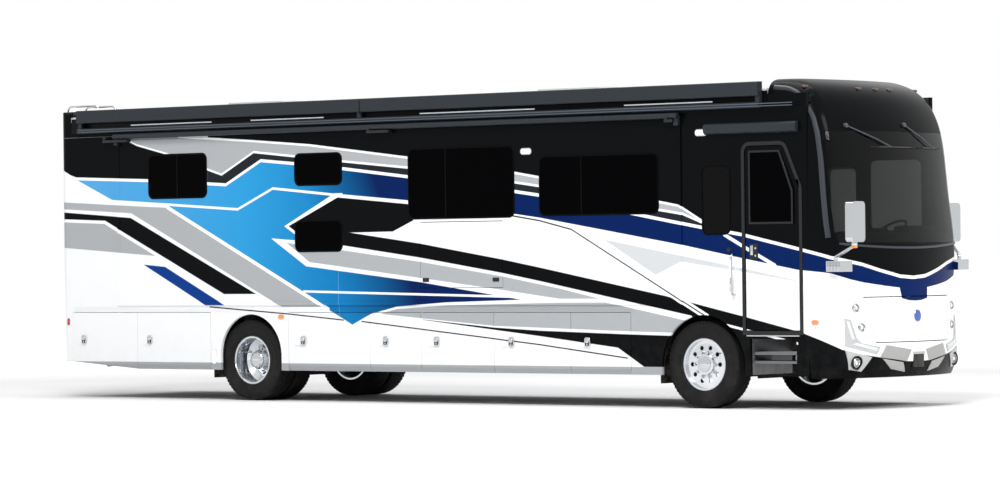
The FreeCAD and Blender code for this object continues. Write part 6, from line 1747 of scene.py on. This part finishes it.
@dataclass(frozen=True)
class NoseTrim(Assembly):
    """The grey blades, fog lamp bezels and skid panels, the ledge, the bare badge disc and the tow box."""

    blade: tuple[Flat, ...] = ((-1.12, 1.03), (-1.05, 1.01), (-0.99, 0.81), (-0.93, 0.75), (-0.67, 0.70), (-0.72, 0.62),
                               (-1.13, 0.72))
    blade_upper: tuple[Flat, ...] = ((-1.105, 1.0), (-1.075, 0.99), (-1.02, 0.80), (-1.055, 0.785))
    blade_lower: tuple[Flat, ...] = ((-1.0, 0.755), (-0.71, 0.69), (-0.725, 0.655), (-1.06, 0.735))
    bezel: tuple[Flat, ...] = ((-1.13, 0.67), (-0.79, 0.59), (-0.91, 0.43), (-1.07, 0.455))
    skid_upper: tuple[Flat, ...] = ((-0.57, 0.72), (-0.15, 0.66), (-0.23, 0.53), (-0.66, 0.59))
    skid_lower: tuple[Flat, ...] = ((-0.63, 0.57), (-0.29, 0.52), (-0.23, 0.41), (-0.48, 0.45))
    fog: Flat = (-0.985, 0.531)
    fog_hole: float = 0.078
    ledge: tuple[float, float] = (1.812, 0.045)
    badge: tuple[float, float] = (1.04, 0.072)
    disc: tuple[Flat, ...] = ((-0.012, 0.0), (-0.012, 0.9), (0.005, 0.9), (0.008, 0.6), (0.009, 0.0))
    disc_ring: tuple[Flat, ...] = ((-0.012, 0.9), (0.008, 0.9), (0.010, 0.95), (0.007, 1.0), (-0.012, 1.0))
    box_half: float = 0.105
    box_low: float = 0.46
    box_high: float = 0.61

    def fit(self) -> None:
        """Fit every piece of trim, both sides alike."""
        bumper = ("front_cap", "front_bumper", "front_hood")
        for name, outline, proud, holes, finish in (
                ("nose_blade", self.blade, 0.010, None, "grey_accent"),
                ("nose_blade_upper", self.blade_upper, 0.014, None, "pale_accent"),
                ("nose_blade_lower", self.blade_lower, 0.014, None, "pale_accent"),
                ("fog_bezel", self.bezel, 0.012, [circle(self.fog, self.fog_hole)], "bezel_silver"),
                ("skid_upper", self.skid_upper, 0.008, None, "skid_grey"),
                ("skid_lower", self.skid_lower, 0.010, None, "skid_grey")):
            right = draped(list(outline), proud, 0.004, holes, 0.035, bumper)
            left = flipped(right)
            self.add(right, f"{name}_right", finish)
            self.add(left, f"{name}_left", finish)
        for side in Side:
            spot, _ = landed("lamps", (ahead(4.0), side.value * abs(self.fog[0]), self.fog[1]), (-1, 0, 0))
            bucket = spun([(-0.03, 0.058), (-0.004, 0.062), (0.014, self.fog_hole), (0.006, self.fog_hole + 0.006),
                           (-0.03, 0.07)], spot, "X", 40)
            self.add(bucket, f"fog_bucket_{side.word}", "satin_black")
        self.run_ledge()
        self.centre()

    def run_ledge(self) -> None:
        """Run the ledge under the windshield round the nose: a real raised lip whose grey is a painted highlight along
        it.
        """
        level, lift = self.ledge
        spots = []
        for step in range(25):
            across = -1.17 + 2.34 * step / 24
            height = level + lift * (across / 1.1) ** 2
            spots.append((nose_x(across, height) + 0.002, across, height))
        self.add(tube(spots, 0.015, 0.002), "screen_ledge", "pillar_grey")

    def centre(self) -> None:
        """Fit the bare badge disc on the hood and the black tow box in the bumper."""
        height, radius = self.badge
        front = (nose_x(0.0, height), 0.0, height)
        disc, ring = (spun([(along, radius * out) for along, out in profile], front, "X", 48)
                      for profile in (self.disc, self.disc_ring))
        self.add(disc, "badge_disc", "badge_blue", "front_hood")
        self.add(ring, "badge_ring", "chrome", "front_hood")
        face = nose_x(0.0, (self.box_low + self.box_high) / 2)
        wide = self.box_half
        box = block((face - 0.05, -wide, self.box_low), (face + 0.012, wide, self.box_high), 0.008, 3)
        self.add(box, "tow_box", "satin_black")
        cap = block((face - 0.03, -wide - 0.012, self.box_high - 0.004),
                    (face + 0.016, wide + 0.012, self.box_high + 0.026), 0.006, 3)
        self.add(cap, "tow_box_cap", "bezel_silver")


@dataclass(frozen=True)
class Wipers(Assembly):
    """Both wipers with their pivot caps, arms and blades."""

    pivots: tuple[Flat, ...] = ((-0.88, 3.19), (0.16, 3.21))
    ends: tuple[Flat, ...] = ((-0.21, 2.955), (0.69, 2.965))
    reaches: tuple[Flat, ...] = ((-0.56, 0.34), (0.39, 0.95))
    height: float = 2.95
    stand_off: float = 0.018

    def fit(self) -> None:
        """Fit both wipers."""
        for index, (pivot, end, reach) in enumerate(zip(self.pivots, self.ends, self.reaches)):
            start = (nose_x(*pivot) + self.stand_off, *pivot)
            middle = ((pivot[0] * 0.4 + end[0] * 0.6), (pivot[1] * 0.4 + end[1] * 0.6))
            knee = (nose_x(*middle) + self.stand_off * 1.8, *middle)
            tip = (nose_x(*end) + self.stand_off * 1.7, *end)
            cap = stick((start[0] - 0.03, *pivot), (start[0] + 0.012, *pivot), 0.026, 24, 0.004)
            self.add([cap, tube([start, knee, tip], 0.0085, 0.03)], f"wiper_arm_{index}", "wiper_black")
            across = [reach[0] + (reach[1] - reach[0]) * step / 12 for step in range(13)]
            edge = [(nose_x(side, self.height) + 0.010, side, self.height) for side in across]
            back = [(x + 0.014, side, height + 0.003) for x, side, height in edge[2:-2]]
            self.add(tube(edge, 0.0075, 0.001, 8), f"wiper_blade_{index}", "gasket_rubber")
            self.add(tube(back, 0.0045, 0.001, 8), f"wiper_back_{index}", "wiper_black")


@dataclass(frozen=True)
class Pillars(Assembly):
    """The mouldings on the cap's corner seams that arch over the side windows and run down both corners of the cap;
    their grey is a painted highlight along the crease.
    """

    run: tuple[Flat, ...] = ((1.02, 3.64), (1.22, 3.62), (1.36, 3.56), (1.47, 3.46), (1.565, 3.30), (1.63, 3.10),
                             (1.675, 2.80), (1.71, 2.40), (1.745, 2.10), (1.77, 1.93))
    radius: float = 0.036
    sunk: float = 0.018

    def fit(self) -> None:
        """Lay a moulding down each corner."""
        for side in Side:
            spots = []
            for station, height in self.run:
                met = cast("front_cap", (ahead(station), side.value * 3.0, height), (0, -side.value, 0))
                if met and abs(met[0].y) > 1.0:
                    spots.append(tuple(met[0] - met[1].normalized() * self.sunk))
            # A real seam moulding, its grey a painted highlight on the corner crease.
            self.add(tube(spots, self.radius, 0.05, 16), f"pillar_moulding_{side.word}", "pillar_grey")


@dataclass(frozen=True)
class Mirrors(Assembly):
    """Glass in the mirror heads, ribs on the bases, collars and orange lamps on the arms."""

    rear: dict[Side, float] = field(default_factory=lambda: {Side.RIGHT: 2.242, Side.LEFT: 1.573})
    arm: dict[Side, float] = field(default_factory=lambda: {Side.RIGHT: 2.283, Side.LEFT: 1.618})
    across: tuple[float, float] = (1.375, 1.575)
    panes: dict[str, Flat] = field(default_factory=lambda: {"main": (2.035, 2.305), "wide": (1.905, 2.015)})
    base: tuple[float, float] = (1.782, 1.958)
    base_tall: tuple[float, float] = (1.556, 1.664)
    base_face: float = 1.299
    ribs: int = 9
    arm_out: float = 1.485
    collar: Flat = (1.838, 1.884)
    lamp: Flat = (1.812, 1.842)

    def fit(self) -> None:
        """Dress both mirrors."""
        for side in Side:
            rear = ahead(self.rear[side])
            for name, (low, high) in self.panes.items():
                start, end = sorted(side.value * across for across in self.across)
                points = round_outline((start, low), (end, high), 0.03)
                glass = plate(points, "X", rear + 0.002, rear - 0.003, 0.0006)
                self.add(glass, f"mirror_{name}_{side.word}", "mirror_glass")
            step = (self.base[1] - self.base[0]) / self.ribs
            ribs = []
            for index in range(self.ribs):
                start = ahead(self.base[0]) + step * (index + 0.2)
                ends = sorted((side.value * (self.base_face - 0.03), side.value * (self.base_face + 0.006)))
                ribs.append(block((start, ends[0], self.base_tall[0]),
                                  (start + step * 0.55, ends[1], self.base_tall[1]), 0.003))
            self.add(ribs, f"mirror_ribs_{side.word}", "chrome")
            end = (ahead(self.arm[side]), side.value * self.arm_out)
            collar = stick(*((*end, height) for height in self.collar), 0.034, 32, 0.006)
            self.add(collar, f"mirror_collar_{side.word}", "chrome")
            low, high = ((end[0] + sign * 0.03, end[1] + sign * 0.022) for sign in (-1, 1))
            lamp = block((*low, self.lamp[0]), (*high, self.lamp[1]), 0.010, 4)
            self.add(lamp, f"mirror_lamp_{side.word}", "lens_amber")


@dataclass(frozen=True)
class SideMarkers(Assembly):
    """The side marker lamps, the chrome-rimmed oblong lamp and the media door's latches."""

    ovals: tuple[tuple[str, str, str, Flat, Flat, str], ...] = (
        ("fender_marker", "fenders", "chassis", (-6.465, 1.045), (0.045, 0.024), "lens_amber"),
        ("cap_marker", "front_cap", "chassis", (1.60, 0.985), (0.045, 0.024), "lens_amber"),
        ("tail_marker", "rear_cap", "chassis", (-10.19, 0.98), (0.020, 0.043), "lens_red"))
    fuel_rim: tuple[Flat, Flat] = ((-7.605, 0.545), (0.034, 0.088))
    latches: tuple[Flat, ...] = ((-4.09, 1.49), (-3.0, 1.49))

    def fit(self) -> None:
        """Fit the small pieces of both sides."""
        for side in Side:
            for name, node, body, middle, half, finish in self.ovals:
                spot, _ = landed(node, (ahead(middle[0]), side.value * 3.0, middle[1]), (0, -side.value, 0))
                self.oval(side, f"{name}_{side.word}", middle, half, abs(spot.y), finish, body)
            middle, half = self.fuel_rim
            spot, _ = landed("fenders", (ahead(middle[0]), side.value * 3.0, middle[1]), (0, -side.value, 0))
            self.oval(side, f"oblong_lamp_{side.word}", middle, half, abs(spot.y), "lens_white", "chassis")
        for index, place in enumerate(self.latches):
            points = oblong(place, (0.05, 0.024), 0.012)
            self.add(on_side(Side.RIGHT, points, 1.287, 0.006, 0.002), f"media_latch_{index}",
                     "satin_black", "media_door")

    def oval(self, side: Side, name: str, middle: Flat, half: Flat, face: float, finish: str, body: str) -> None:
        """Fit one oval lamp with a thin rim."""
        for part, extra, start, proud, look in (("rim", 0.007, face - 0.012, 0.017, "chrome"),
                                                ("lens", 0.0, face - 0.010, 0.022, finish)):
            wide, tall = half[0] + extra, half[1] + extra
            points = oblong(middle, (wide, tall), min(wide, tall) * 0.98)
            self.add(on_side(side, points, start, proud, 0.003), f"{name}_{part}", look, body)


@dataclass(frozen=True)
class Awnings(Assembly):
    """Light gaps, lighter strips along the tube that paint its highlight lines, and a split on the patio awning, and
    the brackets of the slide-out's topper.
    """

    streaks: tuple[Flat, ...] = ((-9.03, -7.61), (-6.94, -5.72), (-4.17, -2.39), (-1.06, 0.21))
    streak_height: float = 3.496
    split: float = -5.06
    run: Flat = (-9.90, 1.37)
    ridges: tuple[float, ...] = (3.452, 3.424)
    brackets: tuple[Flat, ...] = ((-9.45, -9.02), (-4.95, -4.60), (-0.42, -0.30))
    bracket_height: float = 3.30

    def fit(self) -> None:
        """Dress the awnings."""
        self.add([self.strip(start, end, self.streak_height, 0.007, 0.004) for start, end in self.streaks],
                 "awning_light_gaps", "light_gap")
        # Raised lighter strips along the roller tube: painted highlight lines.
        self.add([self.strip(*self.run, height, 0.0055, 0.004) for height in self.ridges], "awning_ridges",
                 "ridge_grey")
        self.add(self.strip(self.split - 0.007, self.split + 0.007, 3.60, 0.085, 0.006), "awning_split",
                 "gasket_rubber")
        for index, (start, end) in enumerate(self.brackets):
            low = (ahead(start), -1.372, self.bracket_height - 0.022)
            high = (ahead(end), -1.288, self.bracket_height + 0.012)
            arm = block(low, high, 0.006, 2)
            pin = stick(*((low[0] + 0.03, across, self.bracket_height + 0.03) for across in (-1.374, -1.288)), 0.022,
                        20, 0.003)
            self.add([arm, pin], f"topper_bracket_{index}", "satin_black", "slide_right")

    def strip(self, start: float, end: float, height: float, half: float, proud: float) -> Object:
        """Return a level strip on the patio awning's outer face."""
        met = cast("awnings", (ahead((start + end) / 2), -3.0, height), (0, 1, 0))
        face = met[0].y if met else -SKIN
        return block((ahead(start), face - proud, height - half), (ahead(end), face + 0.01, height + half), 0.0015)


@dataclass(frozen=True)
class RoofGear(Assembly):
    """Louvres on the roof units and the dark mouldings along the roof's edges."""

    slots: int = 7
    pitch: float = 0.034
    reach: float = 0.20
    edge: Flat = (-10.10, 0.98)
    edge_tall: Flat = (3.41, 3.60)

    def fit(self) -> None:
        """Dress each roof unit."""
        low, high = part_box("roof_units")
        slots = []
        for station in (low[0] + 0.10, high[0] - 0.50):
            for index in range(self.slots):
                place = station + index * self.pitch
                met = cast("roof_units", (place, 0.0, 5.0), (0, 0, -1))
                if met:
                    top = met[0].z
                    slots.append(block((place - 0.006, -self.reach, top - 0.004),
                                       (place + 0.006, self.reach, top + 0.0015), 0.001))
        self.add(slots, "roof_unit_louvres", "satin_black")
        for side in Side:
            (start, end), (low, high) = self.edge, self.edge_tall
            edge = [(start, low), (end, low), (end, high), (start, high)]
            self.add(on_side(side, edge, SKIN, 0.002, 0.0006), f"roof_edge_{side.word}", "window_trim")


@dataclass(frozen=True)
class Tail(Assembly):
    """Louvres on the engine door, a blank plate under a small lamp, and the drive line below."""

    slats: int = 11
    louvre_low: float = 0.76
    louvre_pitch: float = 0.044
    half: float = 0.50
    plate_half: Flat = (0.155, 0.078)
    plate_height: float = 0.556
    shaft_heights: Flat = (0.62, 0.53)
    shaft_radius: float = 0.045
    joint_radius: float = 0.068
    exhaust: tuple[Point, ...] = ((0.62, -0.52, 0.62), (0.40, -0.52, 0.46), (0.10, -0.52, 0.43))
    exhaust_radius: float = 0.055

    def fit(self) -> None:
        """Dress the tail."""
        slats = []
        for index in range(self.slats):
            height = self.louvre_low + self.louvre_pitch * index
            spot, _ = landed("engine_door", (ahead(-12.0), 0.0, height), (1, 0, 0))
            slat = block((spot.x - 0.010, -self.half, height - 0.004), (spot.x + 0.006, self.half, height + 0.004),
                         0.002)
            slats.append(turned_about(slat, (spot.x, 0.0, height), "Y", -28.0))
        self.add(slats, "engine_louvres", "satin_black", "engine_door")
        spot, _ = landed("rear_cap", (ahead(-12.0), 0.0, self.plate_height), (1, 0, 0))
        blank = plate(oblong((0.0, self.plate_height), self.plate_half, 0.014), "X", spot.x + 0.002, spot.x - 0.004,
                      0.001)
        self.add(blank, "plate_blank", "plate_blank")
        self.drive_line()

    def drive_line(self) -> None:
        """Run the propeller shaft from the gearbox to the rear axle and hang the exhaust's end pipe."""
        nose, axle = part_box("engine_block")[1], ahead(REAR_AXLE)
        start, end = (nose[0] - 0.02, 0.0, self.shaft_heights[0]), (axle - 0.24, 0.0, self.shaft_heights[1])
        shaft = stick(start, end, self.shaft_radius, 24, 0.004)
        joints = [stick((x - 0.05, 0.0, z), (x + 0.05, 0.0, z), self.joint_radius, 24, 0.01)
                  for x, z in ((start[0] - 0.04, start[2]), (end[0] + 0.06, end[2]))]
        self.add([shaft, *joints], "propeller_shaft", "frame_black")
        pipe = tube([(ahead(TAIL) + along, across, height) for along, across, height in self.exhaust],
                    self.exhaust_radius, 0.09, 24)
        self.add(pipe, "exhaust_pipe", "dark_alloy")


@dataclass(frozen=True)
class Cabin(Assembly):
    """The two cab seats with padded cushions, and the dash's instrument hood, vents and screen hood."""

    spread: float = 0.62
    half: float = 0.265
    cushion: tuple[Flat, Flat] = ((0.07, 0.585), (1.545, 1.672))
    back: tuple[Flat, Flat] = ((0.055, 0.195), (1.665, 2.225))
    rest: tuple[Flat, Flat] = ((0.065, 0.175), (2.245, 2.425))
    pedestal: tuple[Flat, Flat] = ((0.20, 0.44), (1.217, 1.49))
    channel_depth: float = 0.011
    waist: float = 0.010
    dash_top: float = 1.99
    vent_pitch: float = 0.022

    def fit(self) -> None:
        """Fit the seats and dress the dash."""
        for side in Side:
            middle = side.value * self.spread
            for name, box, inset, bulge, crown, channels in (
                    ("cushion", self.cushion, 0.0, 2, 0.020, 3), ("back", self.back, 0.01, 0, 0.018, 4),
                    ("rest", self.rest, 0.12, 0, 0.014, 0)):
                wide = self.half - inset
                low = (ahead(box[0][0]), middle - wide, box[1][0])
                high = (ahead(box[0][1]), middle + wide, box[1][1])
                pad = self.pad(low, high, bulge, crown, channels)
                self.add(pad, f"seat_{name}_{side.word}", "cab_leather", angle=60.0)
            (start, end), (low, high) = self.pedestal
            foot = [block((ahead(start), middle - 0.13, low), (ahead(end), middle + 0.13, high), 0.015),
                    block((ahead(0.08), middle - 0.24, high - 0.005), (ahead(0.56), middle + 0.24, high + 0.052), 0.01)]
            self.add(foot, f"seat_pedestal_{side.word}", "satin_black")
            posts = [stick((ahead(0.12), middle + out, 2.19), (ahead(0.12), middle + out, 2.27), 0.008, 12)
                     for out in (-0.07, 0.07)]
            self.add(posts, f"seat_posts_{side.word}", "brushed_metal")
            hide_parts("seats")
        self.dash()

    def pad(self, low: Point, high: Point, bulge: int, crown: float, channels: int) -> Object:
        """Return a padded block whose face is crowned, its sides drawn in between the corners.

        Args:
            low: The lowest corner.
            high: The highest corner.
            bulge: The axis that the crowned face looks along.
            crown: How far the face is crowned.
            channels: How many sewn channels cross it.

        Returns:
            The new object.
        """
        half = [(b - a) / 2 for a, b in zip(low, high)]
        middle = [(a + b) / 2 for a, b in zip(low, high)]
        trim = [amount - (crown if axis == bulge else 0.0) for axis, amount in enumerate(half)]
        piece = block([m - t for m, t in zip(middle, trim)], [m + t for m, t in zip(middle, trim)], min(trim) * 0.62, 5)
        modify(piece, "REMESH", mode="VOXEL", voxel_size=0.009)
        flat = [axis for axis in range(3) if axis != bulge]
        long = 2 if bulge == 0 else 0
        for vertex in piece.data.vertices:
            share = [(vertex.co[axis] - middle[axis]) / half[axis] for axis in range(3)]
            dome = max(0.0, 1 - share[flat[0]] ** 2) * max(0.0, 1 - share[flat[1]] ** 2)
            front = max(0.0, share[bulge])
            seam = abs(math.sin(math.pi * channels * (share[long] + 1) / 2)) ** 0.35 if channels else 1.0
            vertex.co[bulge] += (crown * dome - self.channel_depth * (1 - seam) * dome ** 0.25) * front
            for axis in flat:
                other = flat[1] if axis == flat[0] else flat[0]
                vertex.co[axis] -= self.waist * share[axis] * (1 - share[other] ** 2)
        modify(piece, "SMOOTH", factor=0.5, iterations=3)
        return piece

    def dash(self) -> None:
        """Fit the instrument hood, the centre screen's hood and the air vents on the dash."""
        top = self.dash_top
        self.add(block((ahead(1.56), 0.34, top - 0.05), (ahead(1.80), 0.90, top + 0.075), 0.035, 4), "instrument_hood",
                 "dash_grain")
        self.add(block((ahead(1.60), -0.28, top - 0.04), (ahead(1.72), 0.02, top + 0.05), 0.02, 3),
                 "centre_screen_hood", "dash_grain")
        vents = [block((ahead(1.66) + shift, across - 0.16, top + 0.002),
                       (ahead(1.67) + shift, across + 0.16, top + 0.012), 0.002)
                 for across in (-0.75, 0.15) for shift in (0.0, self.vent_pitch, 2 * self.vent_pitch)]
        self.add(vents, "dash_vents", "satin_black")


ASSEMBLIES: tuple[type, ...] = (WindowFrames, BaggageFittings, BeltLines, EntryFittings, Tyres, Wheels, Lamps,
                                NoseTrim, Wipers, Pillars, Mirrors, SideMarkers, Awnings, RoofGear, Tail, Cabin)


def main() -> None:
    """Dress the coach and light it."""
    logging.basicConfig(level=logging.INFO, format="%(levelname)s %(name)s %(message)s")
    finishes = Finishes()
    finishes.built["coach_paint"] = build_coach_paint()
    Studio().build()
    PaintShop(finishes).spray()
    for assembly in ASSEMBLIES:
        log.info("assembly %s", assembly.__name__)
        assembly(finishes).fit()


if __name__ == "__main__":
    main()
